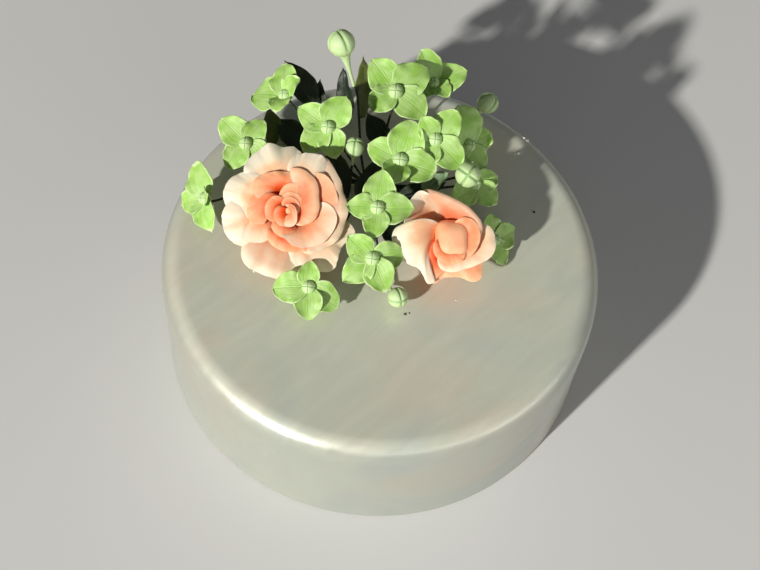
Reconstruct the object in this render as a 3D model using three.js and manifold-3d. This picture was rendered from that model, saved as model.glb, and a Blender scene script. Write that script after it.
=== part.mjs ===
// A round one-tier wedding cake under smooth fondant, with a wired spray of sugar flowers on top:
// two roses, hydrangea-like blossoms, round buds and a few leaves.
// Millimetres, +Z up. The origin is the middle of the cake's flat foot, and the front is towards -Y.

import * as THREE from 'three';
import { mergeVertices } from 'three/addons/utils/BufferGeometryUtils.js';
import Module from 'manifold-3d';

const wasm = await Module();
wasm.setup();

// Driving sizes of the cake
const CAKE_RADIUS = 125;
const CAKE_HEIGHT = 85;
const SHOULDER_RADIUS = 12;
const FOOT_RADIUS = 1.5;
const CAKE_SIDES = 64;
const SHOULDER_STEPS = 5;

// Driving sizes of the sugar work
const GAP = 0.35;
const SLIVER = 0.08;
const PETAL_THICKNESS = 1.1;
const LEAF_THICKNESS = 1.0;
const WIRE_DIAMETER = 1.4;
const WIRE_SIDES = 4;
const WIRE_STEPS = 5;
const WIRE_KNEE = 9;
const WIRE_LIFT = 5;

// A blossom's shape. The petal's width, its wave, the valley between two petals and the ball in the middle
// are shares of the petal's length, the trough is a share of its half width, and the bend is in degrees.
const PETAL = { width: 0.94, wave: 0.04, trough: 0.2, bend: -28 };
const VALLEY = 0.27;
const BALL = 0.23;
const BALL_SIDES = [7, 5];
const BLOSSOM_BACK = 2.8;

// A leaf's shape, in the same terms
const LEAF = { cup: 12, wave: 0.06, trough: 0.3, bend: -24 };
const LEAF_STEPS = [5, 2];

// Where every rose petal starts, round the rose's heart
const ROSE_ROOT = { radius: 4, height: 1.5 };

// Finishes
const FONDANT = { color: 0xc9c6b4, roughness: 0.38, metalness: 0.15 };
const ROSE_SUGAR = { color: 0xf3cfae, roughness: 0.6, metalness: 0 };
const BLOSSOM_SUGAR = { color: 0xb4d98a, roughness: 0.6, metalness: 0 };
const BUD_SUGAR = { color: 0xd3e6bb, roughness: 0.55, metalness: 0 };
const WIRE_TAPE = { color: 0x2c3a22, roughness: 0.8, metalness: 0 };
const OLIVE = 0x6d7a3a;
const GREY_GREEN = 0x7d9470;
const DARK_GREEN = 0x26361c;

// Where each flower sits: the middle of its face, how far it tilts from straight up and towards which side
// (0 is +X, 90 is the back, 180 is -X and 270 is the front). A blossom's cup is how steeply its petals rise,
// and each petal has its direction, anticlockwise from the flower's own right, its length and its extra rise.
const BLOSSOMS = [
  { name: 'blossom_01', at: [-101, 17, 98], tilt: 46, toward: 215, cup: 22,
    petals: [[15, 13, 40], [112, 22, 0], [192, 19, 0], [285, 19, 0]] },
  { name: 'blossom_02', at: [-83, 50, 108], tilt: 32, toward: 268, cup: 18,
    petals: [[60, 17, 0], [137, 20, 0], [233, 18, 0], [325, 18, 0]] },
  { name: 'blossom_03', at: [-63, 77, 119], tilt: 24, toward: 200, cup: 26,
    petals: [[38, 16, 30], [96, 21, 0], [178, 24, -12], [262, 15, 26]] },
  { name: 'blossom_04', at: [-37, 55, 124], tilt: 30, toward: 268, cup: 18,
    petals: [[67, 20, 0], [147, 20, 0], [228, 19, 0], [292, 18, 0]] },
  { name: 'blossom_05', at: [-1, 86, 122], tilt: 26, toward: 270, cup: 18,
    petals: [[47, 23, 0], [133, 23, 0], [215, 18, 8], [328, 22, 0]] },
  { name: 'blossom_06', at: [20, 101, 113], tilt: 16, toward: 300, cup: 32,
    petals: [[28, 21, 0], [132, 22, 26], [215, 16, 0], [318, 14, 16]] },
  { name: 'blossom_07', at: [5, 36, 126], tilt: 26, toward: 268, cup: 18,
    petals: [[76, 24, 0], [154, 20, 0], [256, 18, 30], [345, 21, 0]] },
  { name: 'blossom_08', at: [23, 49, 131], tilt: 32, toward: 275, cup: 18,
    petals: [[57, 20, 0], [130, 16, 26], [240, 19, 0], [322, 21, 0]] },
  { name: 'blossom_09', at: [-5, 5, 124], tilt: 28, toward: 270, cup: 16,
    petals: [[2, 20, 0], [88, 21, 0], [180, 17, 6], [270, 17, 6]] },
  { name: 'blossom_10', at: [-5, -20, 112], tilt: 32, toward: 270, cup: 16,
    petals: [[15, 18, 0], [145, 18, 6], [224, 20, 0], [300, 20, 0]] },
  { name: 'blossom_11', at: [-38, -34, 98], tilt: 24, toward: 262, cup: 16,
    petals: [[95, 15, 8], [185, 20, 0], [275, 18, 0], [332, 19, -10]] },
  { name: 'blossom_12', at: [42, 57, 117], tilt: 38, toward: 325, cup: 24,
    petals: [[38, 17, 0], [118, 24, 10], [215, 14, 0], [308, 18, 0]] },
  { name: 'blossom_13', at: [48, 36, 110], tilt: 34, toward: 300, cup: 16,
    petals: [[28, 15, 0], [115, 14, 0], [222, 18, 0], [325, 17, 0]] },
  { name: 'blossom_14', at: [61, 8, 98], tilt: 44, toward: 330, cup: 18,
    petals: [[25, 17, 0], [115, 15, 0], [205, 15, 0], [305, 16, 0]] },
];

// A bud's radius is that of its ball, and the neck is the tapering length behind it.
const BUDS = [
  { name: 'bud_01', at: [-34, 95, 150], tilt: 30, toward: 130, roll: 30, radius: 7.8, neck: 20 },
  { name: 'bud_02', at: [-21, 48, 118], tilt: 5, toward: 60, roll: 0, radius: 5.7, neck: 10 },
  { name: 'bud_03', at: [43, 31, 126], tilt: 34, toward: 270, roll: 60, radius: 7, neck: 10 },
  { name: 'bud_04', at: [53, 94, 110], tilt: 50, toward: 30, roll: 20, radius: 6.2, neck: 12 },
  { name: 'bud_05', at: [11, -33, 95], tilt: 60, toward: 300, roll: 10, radius: 5.6, neck: 8 },
];

// A leaf runs from its foot to its tip. Its foot stands on the cake's top or lies on the wires, and a high
// leaf has a wire of its own.
const LEAVES = [
  { name: 'leaf_01', from: [-71, 65, 86.3], to: [-74, 83, 98], width: 14, turn: 30, color: OLIVE },
  { name: 'leaf_02', from: [20, 31, 106], to: [32, 37, 117], width: 12, turn: 10, color: GREY_GREEN,
    wired: true },
  { name: 'leaf_03', from: [-47, 88, 100], to: [-66, 101, 120], width: 17, turn: -20, color: DARK_GREEN,
    wired: true },
  { name: 'leaf_04', from: [-49, 82, 86.3], to: [-46, 99, 108], width: 13, turn: 20, color: DARK_GREEN },
  { name: 'leaf_05', from: [-20, 92, 86.3], to: [-22, 110, 119], width: 14, turn: 30, color: OLIVE },
  { name: 'leaf_06', from: [-28, 92, 86.3], to: [-33, 106, 112], width: 12, turn: -30, color: DARK_GREEN },
  { name: 'leaf_07', from: [-3, 67, 86.3], to: [-16, 86, 98], width: 16, turn: 0, color: DARK_GREEN },
  { name: 'leaf_08', from: [-25, 30, 91], to: [-36, 56, 100], width: 17, turn: 10, color: DARK_GREEN },
  { name: 'leaf_09', from: [-14, 26, 92.6], to: [-6, 50, 106], width: 16, turn: -10, color: DARK_GREEN },
  { name: 'leaf_10', from: [-50, 62, 86.3], to: [-68, 80, 93], width: 18, turn: 0, color: DARK_GREEN },
  { name: 'leaf_11', from: [6, 28, 91], to: [31, 40, 102], width: 16, turn: 0, color: DARK_GREEN },
  { name: 'leaf_12', from: [2, 20, 86.3], to: [8, -6, 93], width: 13, turn: 0, color: DARK_GREEN },
];

// The wires run low over the cake's top to one taped bundle that stands on it. A wire that would meet a
// rose's foot goes round it by the point given here.
const BUNDLE = { at: [-13, 44], radius: 3.2, height: 6, sides: 8 };
const WIRE_DETOURS = {
  blossom_01: [-62, 40, 90],
  blossom_14: [38, 34, 90],
};

// Roses: at is the middle of the rose's foot. Each petal row gives its side (degrees round the axis), half
// its spread in degrees, its rim's radius, how far it folds out from its neck to the rim (curl), the height
// of the fold (top), how far the rim falls below it (fall), and its ruffle.
const ROSES = [
  {
    name: 'rose_large', at: [-53, 18, 87.5], tilt: 28, toward: 270,
    core: { radius: 6.5, height: 40 },
    petals: [
      { side: 115, spread: 38, rim: 38, curl: 14, top: 28, fall: 5, ruffle: 1.6 },
      { side: 63, spread: 24, rim: 33, curl: 11, top: 29, fall: 2, ruffle: 1.2 },
      { side: 18, spread: 42, rim: 32, curl: 12, top: 24, fall: -6, ruffle: 1 },
      { side: -36, spread: 32, rim: 39, curl: 15, top: 26, fall: 5, ruffle: 2.2 },
      { side: -92, spread: 31, rim: 38, curl: 14, top: 26, fall: 6, ruffle: 1.8 },
      { side: -132, spread: 26, rim: 36, curl: 12, top: 25, fall: 6, ruffle: 1.2 },
      { side: 190, spread: 25, rim: 37, curl: 13, top: 25, fall: 6, ruffle: 1 },
      { side: 158, spread: 22, rim: 37, curl: 13, top: 27, fall: 5, ruffle: 0.8 },
      { side: 122, spread: 46, rim: 26, curl: 9, top: 33.5, fall: 3, ruffle: 0.8 },
      { side: 190, spread: 40, rim: 25, curl: 9, top: 33, fall: 3, ruffle: 0.8 },
      { side: 240, spread: 36, rim: 26, curl: 9, top: 32, fall: 3, ruffle: 0.8 },
      { side: 292, spread: 38, rim: 25, curl: 9, top: 32, fall: 2, ruffle: 0.8 },
      { side: 8, spread: 52, rim: 19, curl: 4, top: 35, fall: -1, ruffle: 0.4 },
      { side: 135, spread: 62, rim: 17, curl: 6, top: 38, fall: 2, ruffle: 0.3 },
      { side: 255, spread: 62, rim: 17, curl: 6, top: 37.5, fall: 2, ruffle: 0.3 },
      { side: 60, spread: 85, rim: 11.5, curl: 4, top: 39.5, fall: 1, ruffle: 0.2 },
    ],
  },
  {
    name: 'rose_small', at: [36, 10, 87.5], tilt: 26, toward: 270,
    core: { radius: 8, height: 36 },
    petals: [
      { side: 194, spread: 54, rim: 29, curl: 16, top: 31, fall: 7, ruffle: 1 },
      { side: 118, spread: 44, rim: 26, curl: 13, top: 34, fall: 9, ruffle: 0.8 },
      { side: 42, spread: 48, rim: 21, curl: 7, top: 35, fall: 2, ruffle: 0.6 },
      { side: -6, spread: 38, rim: 27, curl: 12, top: 29, fall: 1, ruffle: 0.8 },
      { side: -52, spread: 32, rim: 28, curl: 14, top: 27, fall: 7, ruffle: 1.2 },
      { side: -106, spread: 32, rim: 28, curl: 14, top: 27, fall: 7, ruffle: 1.2 },
      { side: 150, spread: 62, rim: 14, curl: 3, top: 36, fall: 1, ruffle: 0.3 },
      { side: 280, spread: 62, rim: 14, curl: 4, top: 35, fall: 1, ruffle: 0.3 },
      { side: 25, spread: 56, rim: 13, curl: 3, top: 36.5, fall: 0, ruffle: 0.3 },
    ],
  },
];

const toRadians = THREE.MathUtils.degToRad;

// A flower's own axes: z is where it faces, and x and y lie across it.
function facing({ at, tilt, toward, roll = 0 }) {
  const z = new THREE.Vector3(
    Math.sin(toRadians(tilt)) * Math.cos(toRadians(toward)),
    Math.sin(toRadians(tilt)) * Math.sin(toRadians(toward)),
    Math.cos(toRadians(tilt)),
  );
  const x = new THREE.Vector3(1, 0, 0).addScaledVector(z, -z.x).normalize();
  x.applyAxisAngle(z, toRadians(roll));
  const y = new THREE.Vector3().crossVectors(z, x);
  return new THREE.Matrix4().makeBasis(x, y, z).setPosition(...at);
}

// Turns a closed three.js geometry into a solid that can be joined and cut.
function toSolid(geometry) {
  const bare = geometry.index ? geometry.clone() : geometry;
  bare.deleteAttribute('normal');
  bare.deleteAttribute('uv');
  const merged = mergeVertices(bare, 1e-4);
  return new wasm.Manifold(new wasm.Mesh({
    numProp: 3,
    vertProperties: new Float32Array(merged.attributes.position.array),
    triVerts: new Uint32Array(merged.index.array),
  }));
}

function toGeometry(solid) {
  const { vertProperties, triVerts } = solid.getMesh();
  const geometry = new THREE.BufferGeometry();
  geometry.setAttribute('position', new THREE.BufferAttribute(new Float32Array(vertProperties), 3));
  geometry.setIndex(new THREE.BufferAttribute(new Uint32Array(triVerts), 1));
  geometry.computeVertexNormals();
  return geometry;
}

// A solid turned on the z axis from a profile of radius and height that starts and ends on the axis.
function turnedSolid(profile, sides) {
  const points = profile.map(([radius, height]) => new THREE.Vector2(radius, height));
  return toSolid(new THREE.LatheGeometry(points, sides).rotateX(Math.PI / 2));
}

// The biggest piece of a solid: slivers and loose scraps are dropped, and sealed hollows filled.
function mainPiece(solid) {
  const pieces = solid.simplify(SLIVER).decompose();
  return pieces.reduce((best, piece) => (piece.volume() > best.volume() ? piece : best));
}

// A thin closed solid round an open surface: the surface moved half the thickness to each side, both faces
// split into triangles alike, with a strip along the border.
function thinSolid(points, triangles, thickness) {
  const normals = points.map(() => new THREE.Vector3());
  const edges = new Set();
  for (const [a, b, c] of triangles) {
    const normal = points[b].clone().sub(points[a]).cross(points[c].clone().sub(points[a]));
    for (const corner of [a, b, c]) normals[corner].add(normal);
    edges.add(`${a} ${b}`).add(`${b} ${c}`).add(`${c} ${a}`);
  }
  const lower = points.length;
  const vertices = [];
  for (const side of [0.5, -0.5]) {
    points.forEach((point, k) => {
      const normal = normals[k].clone().normalize();
      vertices.push(...point.clone().addScaledVector(normal, side * thickness).toArray());
    });
  }
  const faces = [];
  for (const [a, b, c] of triangles) faces.push(a, b, c, lower + a, lower + c, lower + b);
  for (const edge of edges) {
    const [a, b] = edge.split(' ').map(Number);
    if (!edges.has(`${b} ${a}`)) faces.push(b, a, lower + a, b, lower + a, lower + b);
  }
  return new wasm.Manifold(new wasm.Mesh({
    numProp: 3,
    vertProperties: new Float32Array(vertices),
    triVerts: new Uint32Array(faces),
  }));
}

// A thin solid round a grid: pointAt(s, t) gives the sheet's middle for s and t from 0 to 1.
function sheetSolid(pointAt, rows, columns, thickness) {
  const points = [];
  const triangles = [];
  for (let i = 0; i <= rows; i += 1) {
    for (let j = 0; j <= columns; j += 1) points.push(pointAt(i / rows, j / columns));
  }
  for (let i = 0; i < rows; i += 1) {
    for (let j = 0; j < columns; j += 1) {
      const a = i * (columns + 1) + j;
      const b = a + columns + 1;
      triangles.push([a, b, b + 1], [a, b + 1, a + 1]);
    }
  }
  return thinSolid(points, triangles, thickness);
}

// Half a pointed petal's width at s along it: narrow at the foot, widest at the middle, small at the tip.
function petalHalfWidth(s, width) {
  const rise = 0.35 + 0.65 * Math.sin((Math.PI / 2) * Math.min(1, s / 0.5));
  const fall = (1 - s ** 2.8) ** 0.72;
  return 0.5 * width * (rise * fall + 0.05 * s ** 8);
}

// A blossom's petal: its midrib rises at the cup angle and bends back, and its sides stand up like a trough.
function petalPoint(s, t, { length, width, cup, bend, trough, wave }) {
  const start = toRadians(cup);
  const turn = toRadians(bend);
  const along = (length / turn) * (Math.sin(start + turn * s) - Math.sin(start));
  const lift = (length / turn) * (Math.cos(start) - Math.cos(start + turn * s));
  const side = 2 * t - 1;
  const half = petalHalfWidth(s, width);
  const tip = 0.07 * length * s ** 6 * (1 - Math.abs(side));
  const edge = trough * half * side * side + wave * side * Math.abs(side) * Math.sin(2.2 * Math.PI * s);
  return new THREE.Vector3(along + tip, half * side, lift + edge);
}

// A blossom: a ball in the middle of one thin sheet with four pointed petals. Each petal is a strip from the
// valleys beside it to its tip, with a midrib, and the strips meet round the middle.
function blossomSolid({ cup, petals }) {
  const size = petals.reduce((sum, [, length]) => sum + length, 0) / petals.length;
  const shapes = petals.map(([direction, length, rise]) => ({
    ...PETAL,
    turned: new THREE.Matrix4().makeRotationZ(toRadians(direction)),
    direction,
    length,
    width: PETAL.width * length,
    cup: cup + rise,
    wave: PETAL.wave * length,
  }));
  const points = [new THREE.Vector3(0, 0, 0)];
  const triangles = [];
  const add = (point) => points.push(point) - 1;
  const valleys = shapes.map((shape, k) => {
    const next = shapes[(k + 1) % shapes.length];
    const turn = (next.direction - shape.direction + 360) % 360;
    const angle = toRadians(shape.direction + turn / 2);
    const radius = VALLEY * 0.5 * (shape.length + next.length);
    const height = radius * Math.tan(toRadians(0.5 * (shape.cup + next.cup)));
    return add(new THREE.Vector3(radius * Math.cos(angle), radius * Math.sin(angle), height));
  });
  shapes.forEach((shape, k) => {
    const on = (s, t) => add(petalPoint(s, t, shape).applyMatrix4(shape.turned));
    let row = [valleys[(k + 3) % 4], on(VALLEY, 0.5), valleys[k]];
    triangles.push([0, row[0], row[1]], [0, row[1], row[2]]);
    for (const s of [0.5, 0.74, 0.91]) {
      const next = [on(s, 0), on(s, 0.5), on(s, 1)];
      for (const j of [0, 1]) {
        triangles.push([row[j], next[j], next[j + 1]], [row[j], next[j + 1], row[j + 1]]);
      }
      row = next;
    }
    const tip = on(1, 0.5);
    triangles.push([row[0], tip, row[1]], [row[1], tip, row[2]]);
  });
  const radius = BALL * size;
  const ball = new THREE.SphereGeometry(radius, ...BALL_SIDES).rotateX(Math.PI / 2);
  const raised = toSolid(ball).translate([0, 0, 0.5 * radius]);
  return mainPiece(raised.add(thinSolid(points, triangles, PETAL_THICKNESS)));
}

// A bud: a ball parted by a cross groove, with a neck that tapers back to its wire.
function budSolid({ radius, neck }) {
  const profile = [[0, -radius - neck]];
  for (let k = 0; k <= 3; k += 1) {
    const s = k / 3;
    profile.push([0.9 + (0.45 * radius - 0.9) * s ** 1.6, -radius - neck + (neck + 0.1 * radius) * s]);
  }
  for (let k = 0; k < 5; k += 1) {
    const angle = toRadians(-45 + (135 * k) / 5);
    profile.push([radius * Math.cos(angle), radius * Math.sin(angle)]);
  }
  profile.push([0, radius * 0.94]);
  return turnedSolid(profile, 9);
}

// A leaf: a pointed thin sheet with a folded midrib and wavy sides, that arches over.
function leafSolid({ from, to, width }) {
  const length = new THREE.Vector3(...to).distanceTo(new THREE.Vector3(...from));
  const leaf = { ...LEAF, length, width, wave: LEAF.wave * length };
  return sheetSolid((s, t) => petalPoint(s, t, leaf), ...LEAF_STEPS, LEAF_THICKNESS);
}

// A leaf's own axes: x runs from its foot to its tip, and z is its upper side, turned about x.
function lying({ from, to, turn }) {
  const x = new THREE.Vector3(...to).sub(new THREE.Vector3(...from)).normalize();
  const y = new THREE.Vector3(0, 0, 1).cross(x).normalize().applyAxisAngle(x, toRadians(turn));
  const z = new THREE.Vector3().crossVectors(x, y);
  return new THREE.Matrix4().makeBasis(x, y, z).setPosition(...from);
}

// A wire: a thin round bar along a smooth curve.
function wireSolid(points) {
  const section = new THREE.Shape();
  for (let k = 0; k < WIRE_SIDES; k += 1) {
    const angle = (2 * Math.PI * k) / WIRE_SIDES;
    const [x, y] = [0.5 * WIRE_DIAMETER * Math.cos(angle), 0.5 * WIRE_DIAMETER * Math.sin(angle)];
    if (k === 0) section.moveTo(x, y);
    else section.lineTo(x, y);
  }
  section.closePath();
  return toSolid(new THREE.ExtrudeGeometry(section, {
    steps: WIRE_STEPS,
    bevelEnabled: false,
    extrudePath: new THREE.CatmullRomCurve3(points),
  }));
}

// The wires of the blossoms, the buds and the high leaves, joined in the taped bundle. A wire starts just
// behind its piece, follows the piece's axis down, and then runs low over the cake's top.
function stemsSolid(wired) {
  const [x, y] = BUNDLE.at;
  const foot = CAKE_HEIGHT + GAP;
  const rod = [[0, 0], [BUNDLE.radius, 0], [BUNDLE.radius, BUNDLE.height], [0, BUNDLE.height]];
  let solid = turnedSolid(rod, BUNDLE.sides).translate([x, y, foot]);
  for (const { name, back, axis } of wired) {
    const start = back.clone().addScaledVector(axis, -GAP);
    const knee = start.clone().addScaledVector(axis, -WIRE_KNEE);
    knee.z = Math.max(knee.z, foot + WIRE_LIFT);
    const low = new THREE.Vector3(0.5 * (knee.x + x), 0.5 * (knee.y + y), foot + WIRE_LIFT);
    const end = new THREE.Vector3(x, y, foot + 0.5 * BUNDLE.height);
    const detour = WIRE_DETOURS[name];
    solid = solid.add(wireSolid([start, knee, detour ? new THREE.Vector3(...detour) : low, end]));
  }
  return solid;
}

// A rose petal wraps round the axis: it rises steeply from a narrow foot to its neck, folds there, and runs
// outwards to a rounded, ruffled rim.
function rosePetalPoint(s, t, { side, spread, rim, curl, top, fall, ruffle }) {
  const u = 2 * t - 1;
  const reach = s * (1 - 0.14 * Math.abs(u) ** 3);
  const angle = toRadians(side + spread * u * (0.45 + 0.55 * Math.sin((Math.PI / 2) * s ** 0.7)));
  const rise = Math.sin((Math.PI / 2) * Math.min(1, reach / 0.6));
  const fold = Math.max(0, (reach - 0.4) / 0.6) ** 1.3;
  const drop = Math.max(0, (reach - 0.5) / 0.5) ** 2;
  const wave = ruffle * reach ** 4 * Math.sin(2.5 * Math.PI * u + side);
  const neck = Math.sin((Math.PI / 2) * Math.min(1, reach / 0.5));
  const radius = ROSE_ROOT.radius + (rim - curl - ROSE_ROOT.radius) * neck + curl * fold;
  const out = radius + 0.5 * wave + u;
  const height = ROSE_ROOT.height + (top - ROSE_ROOT.height) * rise - fall * drop + 0.6 * wave;
  return new THREE.Vector3(out * Math.cos(angle), out * Math.sin(angle), height);
}

function roseSolid({ core, petals }) {
  const heart = [
    [0, 0],
    [core.radius * 0.6, 0],
    [core.radius, core.height * 0.3],
    [core.radius, core.height * 0.75],
    [core.radius * 0.6, core.height * 0.97],
    [0, core.height],
  ];
  let solid = turnedSolid(heart, 8);
  for (const petal of petals) {
    const steps = petal.rim > 26 ? [4, 4] : [3, 3];
    solid = solid.add(sheetSolid((s, t) => rosePetalPoint(s, t, petal), ...steps, PETAL_THICKNESS));
  }
  return mainPiece(solid);
}

// The cake: an upright wall on a flat foot, a round shoulder and a flat top.
function cakeSolid() {
  const profile = [[0, 0], [CAKE_RADIUS - FOOT_RADIUS, 0], [CAKE_RADIUS, FOOT_RADIUS]];
  for (let k = 0; k <= SHOULDER_STEPS; k += 1) {
    const angle = (k / SHOULDER_STEPS) * (Math.PI / 2);
    profile.push([
      CAKE_RADIUS - SHOULDER_RADIUS * (1 - Math.cos(angle)),
      CAKE_HEIGHT - SHOULDER_RADIUS * (1 - Math.sin(angle)),
    ]);
  }
  profile.push([0, CAKE_HEIGHT]);
  return turnedSolid(profile, CAKE_SIDES);
}

const cake = new THREE.Group();

function addPart(name, solid, finish) {
  const mesh = new THREE.Mesh(toGeometry(solid), new THREE.MeshStandardMaterial(finish));
  mesh.name = name;
  cake.add(mesh);
}

addPart('cake', cakeSolid(), FONDANT);

const placed = [];

// Where two neighbours would touch, the later one is cut back to leave the gap.
function clearOf(piece, other) {
  if (piece.intersect(other).isEmpty()) return piece;
  let cut = piece;
  for (const [x, y, z] of [[1, 0, 0], [-1, 0, 0], [0, 1, 0], [0, -1, 0], [0, 0, 1], [0, 0, -1]]) {
    cut = cut.subtract(other.translate([x * GAP, y * GAP, z * GAP]));
  }
  return cut;
}

function place(name, solid, finish) {
  const piece = mainPiece(placed.reduce(clearOf, solid));
  placed.push(piece);
  addPart(name, piece, finish);
}

for (const rose of ROSES) place(rose.name, roseSolid(rose).transform(facing(rose).elements), ROSE_SUGAR);
for (const blossom of BLOSSOMS) {
  place(blossom.name, blossomSolid(blossom).transform(facing(blossom).elements), BLOSSOM_SUGAR);
}
for (const bud of BUDS) place(bud.name, budSolid(bud).transform(facing(bud).elements), BUD_SUGAR);

const flowerBacks = [...BLOSSOMS, ...BUDS].map((flower) => {
  const axes = facing(flower);
  const behind = flower.neck ? flower.radius + flower.neck : BLOSSOM_BACK;
  return {
    name: flower.name,
    back: new THREE.Vector3(0, 0, -behind).applyMatrix4(axes),
    axis: new THREE.Vector3().setFromMatrixColumn(axes, 2),
  };
});
const leafBacks = LEAVES.filter((leaf) => leaf.wired).map((leaf) => ({
  name: leaf.name,
  back: new THREE.Vector3(...leaf.from),
  axis: new THREE.Vector3().setFromMatrixColumn(lying(leaf), 0),
}));
place('stems', stemsSolid([...flowerBacks, ...leafBacks]), WIRE_TAPE);

for (const leaf of LEAVES) {
  const finish = { color: leaf.color, roughness: 0.5, metalness: 0 };
  place(leaf.name, leafSolid(leaf).transform(lying(leaf).elements), finish);
}

export default cake;
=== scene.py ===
# %% [markdown]
# # A wedding cake with sugar flowers
# The cake is low and round, under smooth fondant with a pearly lustre. A spray of sugar flowers stands on
# its top: two roses, green blossoms with four petals, round buds, dark leaves and the wires that hold them.
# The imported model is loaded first, as the frame that every new piece is fitted to.

import bpy
import numpy as np
from mathutils import Matrix


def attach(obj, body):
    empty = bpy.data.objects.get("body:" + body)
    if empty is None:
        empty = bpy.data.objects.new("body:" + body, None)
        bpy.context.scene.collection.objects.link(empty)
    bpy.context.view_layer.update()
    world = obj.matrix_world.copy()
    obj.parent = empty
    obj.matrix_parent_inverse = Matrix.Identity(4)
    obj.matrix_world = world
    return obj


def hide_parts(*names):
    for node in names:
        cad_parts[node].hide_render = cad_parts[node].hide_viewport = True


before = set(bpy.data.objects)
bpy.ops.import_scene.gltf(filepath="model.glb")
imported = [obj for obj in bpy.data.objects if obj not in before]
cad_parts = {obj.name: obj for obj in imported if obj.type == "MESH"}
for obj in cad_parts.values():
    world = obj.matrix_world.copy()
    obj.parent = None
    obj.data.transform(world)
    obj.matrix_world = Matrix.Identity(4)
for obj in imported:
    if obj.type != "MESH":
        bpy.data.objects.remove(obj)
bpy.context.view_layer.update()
print("nodes in the frame:", len(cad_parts))

# %% [markdown]
# ## Units, colours and chance
# Cake makers think in millimetres and Blender in metres, so every shape is worked out in millimetres and
# turned into metres when its mesh is made. Colours are given as a painter reads them, from 0 to 255, and
# turned into the linear light that the renderer needs. Sugar work is never quite regular, so small changes
# come from one seeded source of chance for each blossom.

# %% Units, colours and chance
MM = 0.001
CAKE_RADIUS = 125.0
CAKE_HEIGHT = 85.0
SHOULDER_RADIUS = 12.0
FOOT_RADIUS = 1.5


def paint(red, green, blue):
    """A colour from 0 to 255 as linear light: (c + 0.055) / 1.055 to the power 2.4."""
    share = np.array([red, green, blue]) / 255.0
    return (*((share + 0.055) / 1.055) ** 2.4, 1.0)


def smoothstep(low, high, x):
    """Rises from 0 at low to 1 at high with level ends: 3 t squared minus 2 t cubed."""
    t = np.clip((x - low) / (high - low), 0.0, 1.0)
    return t * t * (3.0 - 2.0 * t)


# %% [markdown]
# ## The camera
# The camera looks down on the cake from 60 degrees, as a guest does who leans over the table. It is a
# pinhole camera: a place, a viewing direction, a small roll, and a lens. Its axes are worked out as
# numbers, so that the framing doesn't depend on a helper or a constraint.

# %% The camera
CAMERA_ELEVATION = 60.4
CAMERA_DISTANCE = 859.0
CAMERA_ROLL = 5.55
CAMERA_PAN = -0.071
CAMERA_TILT = 0.300
CAMERA_AIM = np.array([0.0, 0.0, 40.0])
SENSOR_WIDTH = 36.0
LENS = 68.68


def turned_pair(first, second, angle):
    """Two square axes turned together: the first towards the second by the angle, in degrees."""
    c, s = np.cos(np.radians(angle)), np.sin(np.radians(angle))
    return c * first + s * second, c * second - s * first


elevation = np.radians(CAMERA_ELEVATION)
ahead = np.array([0.0, np.cos(elevation), -np.sin(elevation)])
place = (CAMERA_AIM - ahead * CAMERA_DISTANCE) * MM
right, above = turned_pair(np.array([1.0, 0.0, 0.0]), np.cross([1.0, 0.0, 0.0], ahead), CAMERA_ROLL)
right, ahead = turned_pair(right, ahead, CAMERA_PAN)
ahead, above = turned_pair(ahead, above, CAMERA_TILT)

camera_data = bpy.data.cameras.new("camera")
camera_data.sensor_width = SENSOR_WIDTH
camera_data.lens = LENS
camera = bpy.data.objects.new("camera", camera_data)
camera_axes = np.eye(4)
camera_axes[:3, 0], camera_axes[:3, 1], camera_axes[:3, 2], camera_axes[:3, 3] = right, above, -ahead, place
camera.matrix_world = Matrix(camera_axes)
bpy.context.scene.collection.objects.link(camera)
bpy.context.scene.camera = camera
print("camera at", place.round(3))

# %% [markdown]
# ## The light
# Plain studio light. The key light is small and stands far off at the front left, less than 30 degrees
# above the table, so the flowers throw long clear shadows over the fondant. A wide weak light above fills
# them a little, and two narrow strips, at the front and at the right, draw the gleam along the cake's
# shoulder.

# %% The light
SKY_TINT = (0.9, 0.93, 1.0, 1.0)
SKY_STRENGTH = 0.085
CAKE_MIDDLE = (0.0, 0.0, 0.06)

bpy.context.scene.view_settings.view_transform = "Standard"


def area_light(name, at, toward, width, height, watts, color=(1.0, 1.0, 1.0)):
    """A flat light at a place in metres, turned so that its own -Z looks at a point, with its width level."""
    data = bpy.data.lights.new(name, "AREA")
    data.shape = "RECTANGLE"
    data.size, data.size_y = width, height
    data.energy = watts
    data.color = color
    light = bpy.data.objects.new(name, data)
    back = np.array(at) - np.array(toward)
    back /= np.linalg.norm(back)
    side = np.cross([0.0, 0.0, 1.0], back)
    side /= np.linalg.norm(side)
    axes = np.eye(4)
    axes[:3, 0], axes[:3, 1], axes[:3, 2], axes[:3, 3] = side, np.cross(back, side), back, at
    light.matrix_world = Matrix(axes)
    bpy.context.scene.collection.objects.link(light)


area_light(
    "key", at=(-3.96, -4.95, 3.53), toward=(0.0, 0.02, 0.08), width=0.26, height=0.26, watts=650.0,
    color=(1.0, 0.985, 0.95),
)
area_light(
    "fill_above", at=(0.3, 0.5, 1.6), toward=(0.0, 0.0, 0.05), width=1.6, height=1.6, watts=0.6,
    color=(0.95, 0.98, 1.0),
)
area_light("front_strip", at=(0.6, -1.22, 0.62), toward=CAKE_MIDDLE, width=1.5, height=0.1, watts=2.8)
area_light("right_strip", at=(1.3, -0.6, 0.36), toward=CAKE_MIDDLE, width=0.9, height=0.25, watts=3.4)

world = bpy.data.worlds.new("studio")
world.use_nodes = True
world.node_tree.nodes["Background"].inputs["Color"].default_value = SKY_TINT
world.node_tree.nodes["Background"].inputs["Strength"].default_value = SKY_STRENGTH
bpy.context.scene.world = world
print("lights:", [light.name for light in bpy.data.lights])

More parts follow.
